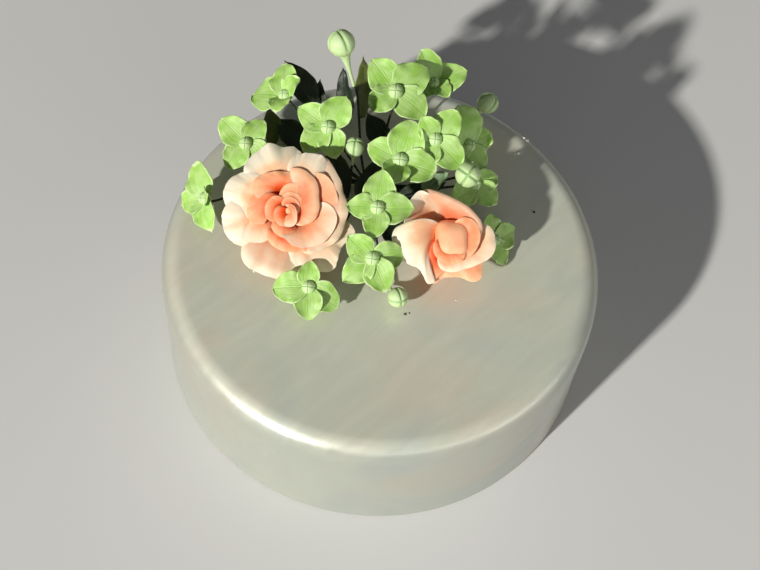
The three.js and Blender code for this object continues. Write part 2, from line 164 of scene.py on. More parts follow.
# %% [markdown]
# ## Node helpers
# A procedural material is a small net of nodes. Small helpers keep the net readable. They make a node, set
# it and join its inputs, name the common sums and mixes, and make a node group with named inputs and
# outputs, which several materials share.

# %% Node helpers
def node(tree, kind, inputs=(), **settings):
    """Adds a node, sets it, and gives each named input a value or a link from another socket."""
    made = tree.nodes.new("ShaderNode" + kind)
    for key, value in settings.items():
        setattr(made, key, value)
    for key, value in dict(inputs).items():
        if isinstance(value, bpy.types.NodeSocket):
            tree.links.new(value, made.inputs[key])
        else:
            made.inputs[key].default_value = value
    return made


def math(tree, operation, first, second=0.0, third=0.0):
    """One sum on numbers, such as MULTIPLY or SMOOTH_MIN, as a node. Returns its output."""
    return node(tree, "Math", {0: first, 1: second, 2: third}, operation=operation).outputs[0]


def mix(tree, share, first, second):
    """Mixes two colours: the first where share is 0 and the second where it is 1."""
    return node(tree, "Mix", {"Factor": share, 6: first, 7: second}, data_type="RGBA").outputs[2]


def between(tree, value, low, high):
    """A value as a mask: 0 below low, 1 above high, and a smooth rise from one to the other."""
    inputs = {"Value": value, "From Min": low, "From Max": high}
    return node(tree, "MapRange", inputs, interpolation_type="SMOOTHSTEP").outputs[0]


def new_group(name, inputs, outputs):
    """An empty shader group with named sockets, as pairs of name and type."""
    tree = bpy.data.node_groups.new(name, "ShaderNodeTree")
    kinds = {"number": "NodeSocketFloat", "colour": "NodeSocketColor", "vector": "NodeSocketVector"}
    for socket, kind in inputs:
        tree.interface.new_socket(socket, in_out="INPUT", socket_type=kinds[kind])
    for socket, kind in outputs:
        tree.interface.new_socket(socket, in_out="OUTPUT", socket_type=kinds[kind])
    return tree, tree.nodes.new("NodeGroupInput").outputs, tree.nodes.new("NodeGroupOutput").inputs


def place_group(tree, group, inputs):
    """Puts a node group into a material with its own values, and returns its outputs."""
    return node(tree, "Group", inputs, node_tree=group).outputs


# %% [markdown]
# ## Sugar paste as node groups
# Sugar paste is a smooth icing with a very fine grain and faint clouds of colour where it was kneaded.
# Petals are dusted by hand, with one tone at the foot, one over the body and one along the rim. On the roses'
# inner petals the deep foot tone is partly painted shade in the creases, and on the blossoms the pale rim is
# partly a painted highlight where the rim catches the light. Their veins run from the foot to the tip and
# were pressed in with a veiner. Grain, dusting and veins are each one group. Dusting and veins read how far
# along and across its petal a point lies.

# %% Sugar paste as node groups
FULL_TURN = 6.2832
VEIN_STRAY = 0.07
VEINS_PER_METRE = 260.0

grain, given, made = new_group(
    "Sugar grain",
    [("Position", "vector"), ("Grains per metre", "number"), ("Clouds per metre", "number")],
    [("Height", "number"), ("Clouds", "number")],
)
fine_set = {"Vector": given["Position"], "Scale": given["Grains per metre"], "Detail": 2.0}
fine = node(grain, "TexNoise", fine_set)
soft_set = {"Vector": given["Position"], "Scale": given["Clouds per metre"], "Detail": 3.0}
soft = node(grain, "TexNoise", soft_set)
grain.links.new(fine.outputs[0], made["Height"])
grain.links.new(between(grain, soft.outputs[0], 0.3, 0.7), made["Clouds"])

veins, given, made = new_group(
    "Petal veins",
    [("Along", "number"), ("Across", "number"), ("Count", "number"), ("Position", "vector")],
    [("Mask", "number"), ("Height", "number")],
)
wander = {"Vector": given["Position"], "Scale": VEINS_PER_METRE, "Detail": 1.0}
stray = node(veins, "TexNoise", wander).outputs[0]
across = math(veins, "MULTIPLY_ADD", stray, VEIN_STRAY, given["Across"])
turns = math(veins, "MULTIPLY", given["Count"], FULL_TURN)
ripple = math(veins, "SINE", math(veins, "MULTIPLY", across, turns))
line = between(veins, ripple, 0.55, 1.0)
middle = math(veins, "ABSOLUTE", math(veins, "SUBTRACT", given["Across"], 0.5))
midrib = math(veins, "SUBTRACT", 1.0, between(veins, middle, 0.0, 0.05))
fade = math(veins, "SUBTRACT", 1.0, between(veins, given["Along"], 0.45, 0.95))
mask = math(veins, "MAXIMUM", math(veins, "MULTIPLY", line, math(veins, "MULTIPLY", fade, 0.6)), midrib)
veins.links.new(mask, made["Mask"])
veins.links.new(math(veins, "MULTIPLY", mask, -1.0), made["Height"])

dusting, given, made = new_group(
    "Petal dusting",
    [
        ("Along", "number"), ("Across", "number"), ("Clouds", "number"),
        ("Foot", "colour"), ("Body", "colour"), ("Rim", "colour"),
        ("Foot start", "number"), ("Foot reach", "number"), ("Rim width", "number"),
    ],
    [("Color", "colour")],
)
aside = math(dusting, "ABSOLUTE", math(dusting, "SUBTRACT", given["Across"], 0.5))
outermost = math(dusting, "MAXIMUM", math(dusting, "MULTIPLY", aside, 2.0), given["Along"])
cloud = math(dusting, "SUBTRACT", given["Clouds"], 0.5)
blurred = math(dusting, "MULTIPLY_ADD", cloud, 0.16, outermost)
rim = between(dusting, blurred, math(dusting, "SUBTRACT", 1.0, given["Rim width"]), 1.0)
foot_along = math(dusting, "MULTIPLY_ADD", cloud, 0.2, given["Along"])
foot_gone = between(dusting, foot_along, given["Foot start"], given["Foot reach"])
foot = math(dusting, "SUBTRACT", 1.0, foot_gone)
toned = mix(dusting, foot, given["Body"], given["Foot"])
dusting.links.new(mix(dusting, rim, toned, given["Rim"]), made["Color"])
print("node groups:", [group.name for group in bpy.data.node_groups])


# %% [markdown]
# ## A sugar material
# Every sugar material starts alike: a Principled shader, soft and slightly see-into, because light sinks a
# little way into sugar paste, and red light farthest. The helper returns the shader and the numbers that each
# petal carries: how far along and across it a point lies, a third number whose meaning each flower gives, and
# its shade, by which a petal is darker or lighter than the next. On the blossoms that shade is a tone that
# differs at random from petal to petal; on the roses it is painted shade on petals that lie in shade.

# %% A sugar material
GLOW_REACH = (1.0, 0.7, 0.45)


def sugar_material(name, roughness, glow, glow_depth):
    """A new material with its shader, the object coordinates, the petal's three numbers and its shade."""
    material = bpy.data.materials.new(name)
    material.use_nodes = True
    tree = material.node_tree
    shader = tree.nodes["Principled BSDF"]
    shader.inputs["Roughness"].default_value = roughness
    shader.inputs["Subsurface Weight"].default_value = glow
    shader.inputs["Subsurface Radius"].default_value = GLOW_REACH
    shader.inputs["Subsurface Scale"].default_value = glow_depth * MM
    position = tree.nodes.new("ShaderNodeTexCoord").outputs["Object"]
    petal = node(tree, "Attribute", attribute_name="petal")
    parts = node(tree, "SeparateXYZ", {0: petal.outputs["Vector"]}).outputs
    shade = node(tree, "Attribute", attribute_name="shade").outputs["Fac"]
    return material, tree, shader, position, parts, shade


def set_bump(tree, shader, height, depth):
    """Gives the shader a bump of the height, whose full range is the depth in millimetres."""
    bump = node(tree, "Bump", {"Height": height, "Distance": depth * MM, "Strength": 1.0})
    tree.links.new(bump.outputs[0], shader.inputs["Normal"])


def paste_grain(tree, position, grains, clouds):
    """The paste's grain as a height and its clouds as a share, each by how many there are to the metre."""
    inputs = {"Position": position, "Grains per metre": grains, "Clouds per metre": clouds}
    return place_group(tree, grain, inputs)


def vein_lines(tree, parts, position, count):
    """The veins pressed into a petal, as many as the count, as a mask and as a height."""
    inputs = {"Along": parts[0], "Across": parts[1], "Count": count, "Position": position}
    return place_group(tree, veins, inputs)


def dust(tree, parts, paste, foot, body, rim, fade, rim_width):
    """A petal's colour from its foot, body and rim tones. The foot's tone fades between two shares of the way
    along, and the rim's is as wide as the rim width."""
    return place_group(tree, dusting, {
        "Along": parts[0], "Across": parts[1], "Clouds": paste["Clouds"],
        "Foot": foot, "Body": body, "Rim": rim,
        "Foot start": fade[0], "Foot reach": fade[1], "Rim width": rim_width,
    })["Color"]


# %% [markdown]
# ## Meshes from arrays
# A petal is a surface: each point is a function of how far along (s) and across (t) the petal it lies. All
# points are worked out at once as arrays. A thin closed shell gives it two faces and a fine rim, and a
# turned form closes round an axis. Several of them are joined into one mesh, which carries the petal
# numbers and the shade.

# %% Meshes from arrays
def petal_grid(rows, columns, rim_bias=1.0):
    """Even steps of s and t from 0 to 1. A bias above 1 packs the steps of s towards the rim."""
    s = 1.0 - (1.0 - np.linspace(0.0, 1.0, rows)) ** rim_bias
    return np.meshgrid(s, np.linspace(0.0, 1.0, columns), indexing="ij")


def grid_normals(points):
    """Unit normals of a grid: the cross product of its slopes along and across."""
    normals = np.cross(np.gradient(points, axis=0), np.gradient(points, axis=1))
    return normals / np.maximum(np.linalg.norm(normals, axis=-1, keepdims=True), 1e-9)


def thinned(s, t, middle, rim, start):
    """A petal's thickness: from the middle's value down to the rim's, by a smooth step. The step begins at
    the start, a share of the way to the tip or to a side, whichever is nearer."""
    return middle - (middle - rim) * smoothstep(start, 1.0, np.maximum(s, np.abs(2.0 * t - 1.0)))


def shell(points, thickness, petal, shade):
    """A thin closed solid round a grid: every point goes half the thickness to each side along the normal."""
    rows, columns = points.shape[:2]
    count = rows * columns
    shift = grid_normals(points) * 0.5 * np.broadcast_to(thickness, (rows, columns))[..., None]
    index = np.arange(count).reshape(rows, columns)
    upper = np.stack([index[:-1, :-1], index[1:, :-1], index[1:, 1:], index[:-1, 1:]], -1).reshape(-1, 4)
    loop = np.concatenate([index[:-1, 0], index[-1, :-1], index[:0:-1, -1], index[0, :0:-1]])
    ahead_of = np.roll(loop, -1)
    border = np.stack([loop, loop + count, ahead_of + count, ahead_of], -1)
    numbers = np.stack([np.broadcast_to(value, (rows, columns)) for value in petal], -1).reshape(-1, 3)
    return {
        "points": np.concatenate([(points + shift).reshape(-1, 3), (points - shift).reshape(-1, 3)]),
        "faces": np.concatenate([upper, upper[:, ::-1] + count, border]).tolist(),
        "petal": np.concatenate([numbers, numbers]),
        "shade": np.tile(np.broadcast_to(shade, (rows, columns)).ravel(), 2),
    }


def turned(rings, first, last, petal, shade=0.0):
    """A closed form of rings round an axis, from a first pole to a last one. Its columns close a circle."""
    rows, sides = rings.shape[:2]
    index = np.arange(rows * sides).reshape(rows, sides)
    ahead_of = np.roll(index, -1, axis=1)
    walls = np.stack([index[:-1], ahead_of[:-1], ahead_of[1:], index[1:]], -1).reshape(-1, 4)
    low, high = rows * sides, rows * sides + 1
    low_cap = np.stack([np.full(sides, low), ahead_of[0], index[0]], -1)
    high_cap = np.stack([index[-1], ahead_of[-1], np.full(sides, high)], -1)
    numbers = np.stack([np.broadcast_to(value, (rows, sides)) for value in petal], -1)
    poles = [numbers[0].mean(0), numbers[-1].mean(0)]
    return {
        "points": np.concatenate([rings.reshape(-1, 3), [first, last]]),
        "faces": walls.tolist() + low_cap.tolist() + high_cap.tolist(),
        "petal": np.concatenate([numbers.reshape(-1, 3), poles]),
        "shade": np.full(rows * sides + 2, shade),
    }


def moved(part, axes, at):
    """The part set into place: its points are read along the three axes and moved to the place."""
    return {**part, "points": part["points"] @ axes.T + at}


def make_piece(name, parts, material, slot, *nodes):
    """Joins the parts into one smooth mesh in metres, rides it on the cake, and replaces its nodes."""
    starts = np.cumsum([0] + [len(part["points"]) for part in parts])
    faces = []
    for part, start in zip(parts, starts):
        faces += [[corner + start for corner in face] for face in part["faces"]]
    mesh = bpy.data.meshes.new(name)
    mesh.from_pydata(np.concatenate([part["points"] for part in parts]) * MM, [], faces)
    petal = mesh.attributes.new("petal", "FLOAT_VECTOR", "POINT")
    petal.data.foreach_set("vector", np.concatenate([part["petal"] for part in parts]).ravel())
    shade = mesh.attributes.new("shade", "FLOAT", "POINT")
    shade.data.foreach_set("value", np.concatenate([part["shade"] for part in parts]))
    mesh.shade_smooth()
    mesh.materials.append(material)
    piece = bpy.data.objects.new(name, mesh)
    bpy.context.scene.collection.objects.link(piece)
    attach(piece, "root")
    if nodes:
        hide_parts(*nodes)
    print(name, "faces", len(faces), "size mm", (np.array(piece.dimensions) / MM).round(1))


def facing(at, tilt, toward, roll=0.0):
    """A flower's axes and place: z is where it faces, and x is as near to +X as it can be, rolled about z."""
    lean, way = np.radians(tilt), np.radians(toward)
    z = np.array([np.sin(lean) * np.cos(way), np.sin(lean) * np.sin(way), np.cos(lean)])
    x = np.array([1.0, 0.0, 0.0]) - z[0] * z
    x /= np.linalg.norm(x)
    x, y = turned_pair(x, np.cross(z, x), roll)
    return np.column_stack([x, y, z]), np.array(at, float)


# %% [markdown]
# ## The fondant's finish
# The fondant is pale ivory grey and was brushed with pearl dust. Pearl dust is fine mica: it reflects
# softly, a bit like metal, and the brush leaves faint streaks and cloudy patches, some warm and some cool.
# The streaks come from two stretched noises. One is wide in X and Y and narrow in Z, so it runs round the
# wall. The other is long in one turned direction, so it lies across the top like strokes of a wide brush,
# and a little distortion keeps it from looking like brushed metal. A pale table throws light up on the
# wall, which would look brighter than the top, so the wall's colour is a little darker.

# %% The fondant's finish
IVORY = paint(219, 221, 201)
WARM_PATCH = paint(224, 217, 196)
COOL_PATCH = paint(210, 215, 200)
WALL_TONE = (0.6, 0.61, 0.63, 1.0)
WALL_TOP = 0.93
STREAKS_PER_METRE = (9.0, 9.0, 150.0)
STROKE_METRES = (0.05, 0.01, 0.02)
STROKE_TURN = 0.85

fondant, tree, shader, position, parts, shade = sugar_material("fondant", 0.35, 0.0, 1.0)
shader.inputs["Metallic"].default_value = 0.25
shader.inputs["Coat Weight"].default_value = 0.5
shader.inputs["Coat Roughness"].default_value = 0.26
warm_set = {"Vector": position, "Scale": 14.0, "Detail": 3.0, "Distortion": 0.6}
warm = node(tree, "TexNoise", warm_set).outputs[0]
cool_set = {"Vector": position, "Scale": 8.0, "Detail": 2.0, "Distortion": 1.2}
cool = node(tree, "TexNoise", cool_set).outputs[0]
round_wall = node(tree, "Mapping", {"Vector": position, "Scale": STREAKS_PER_METRE}).outputs[0]
streak_set = {"Vector": round_wall, "Scale": 1.0, "Detail": 5.0, "Roughness": 0.6}
streaks = node(tree, "TexNoise", streak_set).outputs[0]
top_set = {"Vector": position, "Rotation": (0.0, 0.0, STROKE_TURN), "Scale": STROKE_METRES}
across_top = node(tree, "Mapping", top_set, vector_type="TEXTURE").outputs[0]
stroke_set = {"Vector": across_top, "Scale": 1.0, "Detail": 4.0, "Roughness": 0.55, "Distortion": 1.4}
strokes = node(tree, "TexNoise", stroke_set).outputs[0]
paste = paste_grain(tree, position, 1400.0, 60.0)

warmed = mix(tree, between(tree, warm, 0.42, 0.68), IVORY, WARM_PATCH)
cooled = mix(tree, between(tree, cool, 0.5, 0.7), warmed, COOL_PATCH)
tone_set = {"Factor": between(tree, parts[0], 1.0, WALL_TOP), 6: cooled, 7: WALL_TONE}
toned = node(tree, "Mix", tone_set, data_type="RGBA", blend_type="MULTIPLY").outputs[2]
swept = {"Value": math(tree, "MULTIPLY_ADD", strokes, 0.17, 0.925), "Color": toned}
tree.links.new(node(tree, "HueSaturation", swept).outputs[0], shader.inputs["Base Color"])

dulled = math(tree, "MULTIPLY_ADD", streaks, 0.14, math(tree, "MULTIPLY_ADD", warm, 0.12, 0.1))
dulled = math(tree, "MULTIPLY_ADD", strokes, 0.34, dulled)
tree.links.new(dulled, shader.inputs["Roughness"])
brushed = math(tree, "MULTIPLY_ADD", strokes, 0.3, streaks)
set_bump(tree, shader, math(tree, "MULTIPLY_ADD", paste["Height"], 0.06, brushed), 0.35)
print("fondant nodes:", len(tree.nodes))

# %% [markdown]
# ## The cake
# Under its fondant the cake is a turned form: a flat foot, an upright wall, a round shoulder and a flat
# top. One profile is carried round the axis. Fondant laid by hand is never true, so the wall swells and the
# top sinks by a few tenths of a millimetre, in long waves.

# %% The cake
CAKE_SIDES = 288
WALL_STEPS, SHOULDER_STEPS, TOP_STEPS = 38, 22, 48
UNDERSIDE_STEPS, FOOT_STEPS = 8, 5
UNDERSIDE_START = 10.0
WALL_MARGIN = 1.5
TOP_MARGIN = 2.5
WALL_WAVE = 0.45
TOP_WAVE = 0.35


def cake_part():
    """The profile's radius and height at each step, carried round, with long sine waves in both."""
    bend = np.radians(np.linspace(0.0, 90.0, SHOULDER_STEPS))
    foot = np.radians(np.linspace(-80.0, 0.0, FOOT_STEPS))
    underside, top = CAKE_RADIUS - FOOT_RADIUS, CAKE_RADIUS - SHOULDER_RADIUS
    wall_low, wall_high = FOOT_RADIUS + WALL_MARGIN, CAKE_HEIGHT - SHOULDER_RADIUS - WALL_MARGIN
    radii = np.concatenate([
        np.linspace(UNDERSIDE_START, underside, UNDERSIDE_STEPS),
        underside + FOOT_RADIUS * np.cos(foot),
        np.full(WALL_STEPS, CAKE_RADIUS),
        CAKE_RADIUS - SHOULDER_RADIUS * (1.0 - np.cos(bend)),
        np.linspace(top - TOP_MARGIN, TOP_MARGIN, TOP_STEPS),
    ])
    heights = np.concatenate([
        np.zeros(UNDERSIDE_STEPS),
        FOOT_RADIUS + FOOT_RADIUS * np.sin(foot),
        np.linspace(wall_low, wall_high, WALL_STEPS),
        CAKE_HEIGHT - SHOULDER_RADIUS * (1.0 - np.sin(bend)),
        np.full(TOP_STEPS, CAKE_HEIGHT),
    ])
    angle = np.linspace(0.0, 2.0 * np.pi, CAKE_SIDES, endpoint=False)
    r, z, a = radii[:, None], heights[:, None], angle[None, :]
    on_wall = 1.0 - smoothstep(CAKE_HEIGHT - SHOULDER_RADIUS, CAKE_HEIGHT, z)
    on_wall = on_wall * smoothstep(0.0, SHOULDER_RADIUS, z)
    swell = np.sin(3.0 * a + 0.03 * z) + 0.6 * np.sin(5.0 * a + 1.7 - 0.05 * z)
    swell = swell + 0.4 * np.sin(9.0 * a + 0.08 * z)
    dip = np.sin(0.021 * r * np.cos(a) + 0.4) + 0.7 * np.sin(0.034 * r * np.sin(a) + 1.1) - 1.2
    on_top = smoothstep(CAKE_HEIGHT - 2.0 * SHOULDER_RADIUS, CAKE_HEIGHT, z)
    radius = r + 0.5 * WALL_WAVE * (swell - 1.2) * on_wall
    rings = np.stack([radius * np.cos(a), radius * np.sin(a), z + TOP_WAVE * dip * on_top], -1)
    return turned(rings, [0.0, 0.0, 0.0], rings[-1].mean(0), (z / CAKE_HEIGHT, 0.0, 0.0))


make_piece("fondant_cake", [cake_part()], fondant, "fondant", "cake")

# %% [markdown]
# ## The roses' finish
# A sugar rose is made of cream paste, and dusted with peach and then orange from the heart outwards. The
# outer petals stay cream at their rims, and the roots, which the dusting brush never reaches, stay pale. The
# third petal number says how deep in the rose the petal sits, from 0 for the outermost to 1 for the heart,
# and mixes an outer and an inner dusting. The inner dusting's deep orange at the petals' feet is partly that
# dusting and partly painted shade in the creases between the petals. Fine ribs come from a noise that is
# stretched from foot to rim. Petals that lie in shade carry a tone below 1, which is painted shade: it
# darkens them all but their lip.

# %% The roses' finish
CREAM = paint(251, 236, 208)
PALE_PEACH = paint(254, 213, 174)
PEACH = paint(254, 192, 150)
WARM_PEACH = paint(254, 183, 141)
PINK_PEACH = paint(255, 166, 124)
# Deep orange at the inner petals' feet: partly dusting, partly painted shade in the creases
ORANGE_AND_CREASE_SHADE = paint(242, 96, 46)
RIBS_ACROSS, RIBS_ALONG, RIBS_APART = 16.0, 2.2, 40.0

rose_sugar, tree, shader, position, parts, shade = sugar_material("rose_sugar", 0.55, 0.28, 2.0)
paste = paste_grain(tree, position, 1700.0, 110.0)
rib_place = node(tree, "CombineXYZ", {
    0: math(tree, "MULTIPLY", parts[1], RIBS_ACROSS),
    1: math(tree, "MULTIPLY", parts[0], RIBS_ALONG),
    2: math(tree, "MULTIPLY", parts[2], RIBS_APART),
}).outputs[0]
rib_set = {"Vector": rib_place, "Scale": 1.0, "Detail": 3.0, "Distortion": 0.3}
ribs = node(tree, "TexNoise", rib_set).outputs[0]
outer = dust(tree, parts, paste, PEACH, PALE_PEACH, CREAM, fade=(0.45, 0.95), rim_width=0.42)
inner = dust(tree, parts, paste, ORANGE_AND_CREASE_SHADE, PINK_PEACH, WARM_PEACH, fade=(0.35, 0.93), rim_width=0.16)
layered = mix(tree, between(tree, parts[2], 0.0, 0.55), outer, inner)
rooted = mix(tree, between(tree, parts[0], 0.1, 0.34), PALE_PEACH, layered)
ribbed = node(tree, "HueSaturation", {
    "Saturation": math(tree, "MULTIPLY_ADD", ribs, 0.2, 0.94), "Value": shade, "Color": rooted,
})
tree.links.new(ribbed.outputs[0], shader.inputs["Base Color"])
set_bump(tree, shader, math(tree, "MULTIPLY_ADD", paste["Height"], 0.2, ribs), 0.14)
print("rose nodes:", len(tree.nodes))

# %% [markdown]
# ## The roses
# Each rose petal is part of a bowl round the rose's axis. It leaves a narrow root, rises at once, and then
# opens out to its rim, so the petals lie one over the other like stacked dishes, a few millimetres apart.
# The rim is the line that gives a rose its look, so it is drawn as a smooth curve through a few listed
# places, each an angle round the axis, a radius and a height. Both ends of a rim turn in under the
# neighbours, and the foot of a petal lags behind its rim, as it does where petals are wound on. The heart is
# shut: a turned form that is pressed a little square by the petals round it.

# %% The roses
ROSE_ROOT_HEIGHT = 1.5
ROSE_ROWS, ROSE_COLUMNS = 40, 49
LIP_START = 0.84


def smooth_keys(places, values, x):
    """A smooth curve through the keys: each piece is a cubic that meets its neighbours' slopes."""
    slope = np.gradient(values, places)
    i = np.clip(np.searchsorted(places, x) - 1, 0, len(places) - 2)
    gap = places[i + 1] - places[i]
    p = np.clip((x - places[i]) / gap, 0.0, 1.0)
    q = 1.0 - p
    ends = values[i] * (1.0 + 2.0 * p) * q * q + values[i + 1] * (1.0 + 2.0 * q) * p * p
    return ends + gap * p * q * (slope[i] * q - slope[i + 1] * p)


def rose_petal(rim, fall=0.0, bow=5.0, lean=4.0, root=3.0, opening=1.3, tuck=0.3, dips=(2.0, 2.0), twist=0.0,
               ruffle=0.5, roll=0.0, ring=0.0, tone=1.0):
    """Radius: a power of the way to the rim. Height: 1 less a power of the way left to go, so it rises at
    once, less a power that bends the rim down, or up where fall is negative. Each end reaches less far and
    dips. Sine waves ruffle and crimp the rim, and an arc rolls its lip back. The tone is painted shade for a
    petal that lies in shade: it darkens all but the lip, which stays lit."""
    s, t = petal_grid(ROSE_ROWS, ROSE_COLUMNS, 1.5)
    u = 2.0 * t - 1.0
    places, radii, heights = np.array(rim, float).T
    middle, half = 0.5 * (places[-1] + places[0]), 0.5 * (places[-1] - places[0])
    turn = middle + half * u * (0.5 + 0.5 * np.sin(0.5 * np.pi * s))
    reach = s * (1.0 - tuck * np.abs(u) ** 5)
    phase = np.radians(7.0 * middle)
    waves = half / 16.0
    along_rim = np.pi * waves * u
    wave = ruffle * reach ** 5 * (np.sin(along_rim + phase) + 0.4 * np.sin(2.1 * along_rim - phase))
    crimp = 0.2 * ruffle * reach ** 12 * np.sin(5.3 * along_rim + 3.0 * phase)
    crimp = crimp * np.sin(1.7 * np.pi * u + phase)
    lip = 2.4 * np.maximum(0.0, (reach - LIP_START) / (1.0 - LIP_START))
    radius = root + (smooth_keys(places, radii, turn) - root) * reach ** opening
    radius += 0.4 * wave + crimp + roll * (np.sin(lip) - 0.4 * lip)
    level = smooth_keys(places, heights, turn)
    height = ROSE_ROOT_HEIGHT + (level - ROSE_ROOT_HEIGHT) * (1.0 - (1.0 - reach) ** lean)
    height += wave + 1.5 * crimp - fall * reach ** bow - roll * (1.0 - np.cos(lip))
    height -= s * np.where(u < 0.0, dips[0], dips[1]) * np.abs(u) ** 4
    angle = np.radians(turn - twist * (1.0 - s) ** 1.2)
    points = np.stack([radius * np.cos(angle), radius * np.sin(angle), height], -1)
    # Painted shade: a tone below 1 darkens a petal that lies in shade, all but its lip, which stays lit
    shade = tone + (1.0 - tone) * smoothstep(LIP_START, 0.98, reach)
    return shell(points, thinned(s, t, 0.85, 0.25, 0.6), (s, t, ring), shade)


def rose_heart(radius, height, stretch=1.0, fold=0.12, aside=(0.0, 0.0)):
    """The shut heart: its radius closes by the root of 1 less a high power of the way up, and a cosine of
    four times the angle makes it a soft square. A spiral step is pressed into its top, and its upper end
    leans aside by the square of the way up."""
    rise = np.linspace(0.0, 1.0, 48)[:-1, None]
    angle = np.linspace(0.0, 2.0 * np.pi, 72, endpoint=False)[None, :]
    square = 1.0 + 0.08 * np.cos(4.0 * angle + 2.8)
    out = radius * square * (1.0 - rise ** 9) ** 0.5 * (0.5 + 0.5 * smoothstep(0.0, 0.5, rise))
    winding = (angle / (2.0 * np.pi) + 1.6 * (1.0 - out / radius) + 0.35) % 1.0
    step = smoothstep(0.0, 0.75, winding) * (1.0 - smoothstep(0.9, 1.0, winding))
    step = step * smoothstep(0.75, 0.95, rise)
    level = ROSE_ROOT_HEIGHT + (height - ROSE_ROOT_HEIGHT) * rise
    level = level - fold * radius * (1.0 - step) * rise ** 8
    lean_x, lean_y = aside[0] * rise ** 2, aside[1] * rise ** 2
    rings = np.stack([out * np.cos(angle) + lean_x, stretch * out * np.sin(angle) + lean_y, level], -1)
    top = rings[-1].mean(0)
    return turned(rings, [0.0, 0.0, ROSE_ROOT_HEIGHT], top, (0.55 + 0.45 * rise, 0.5, 0.45), 1.0)


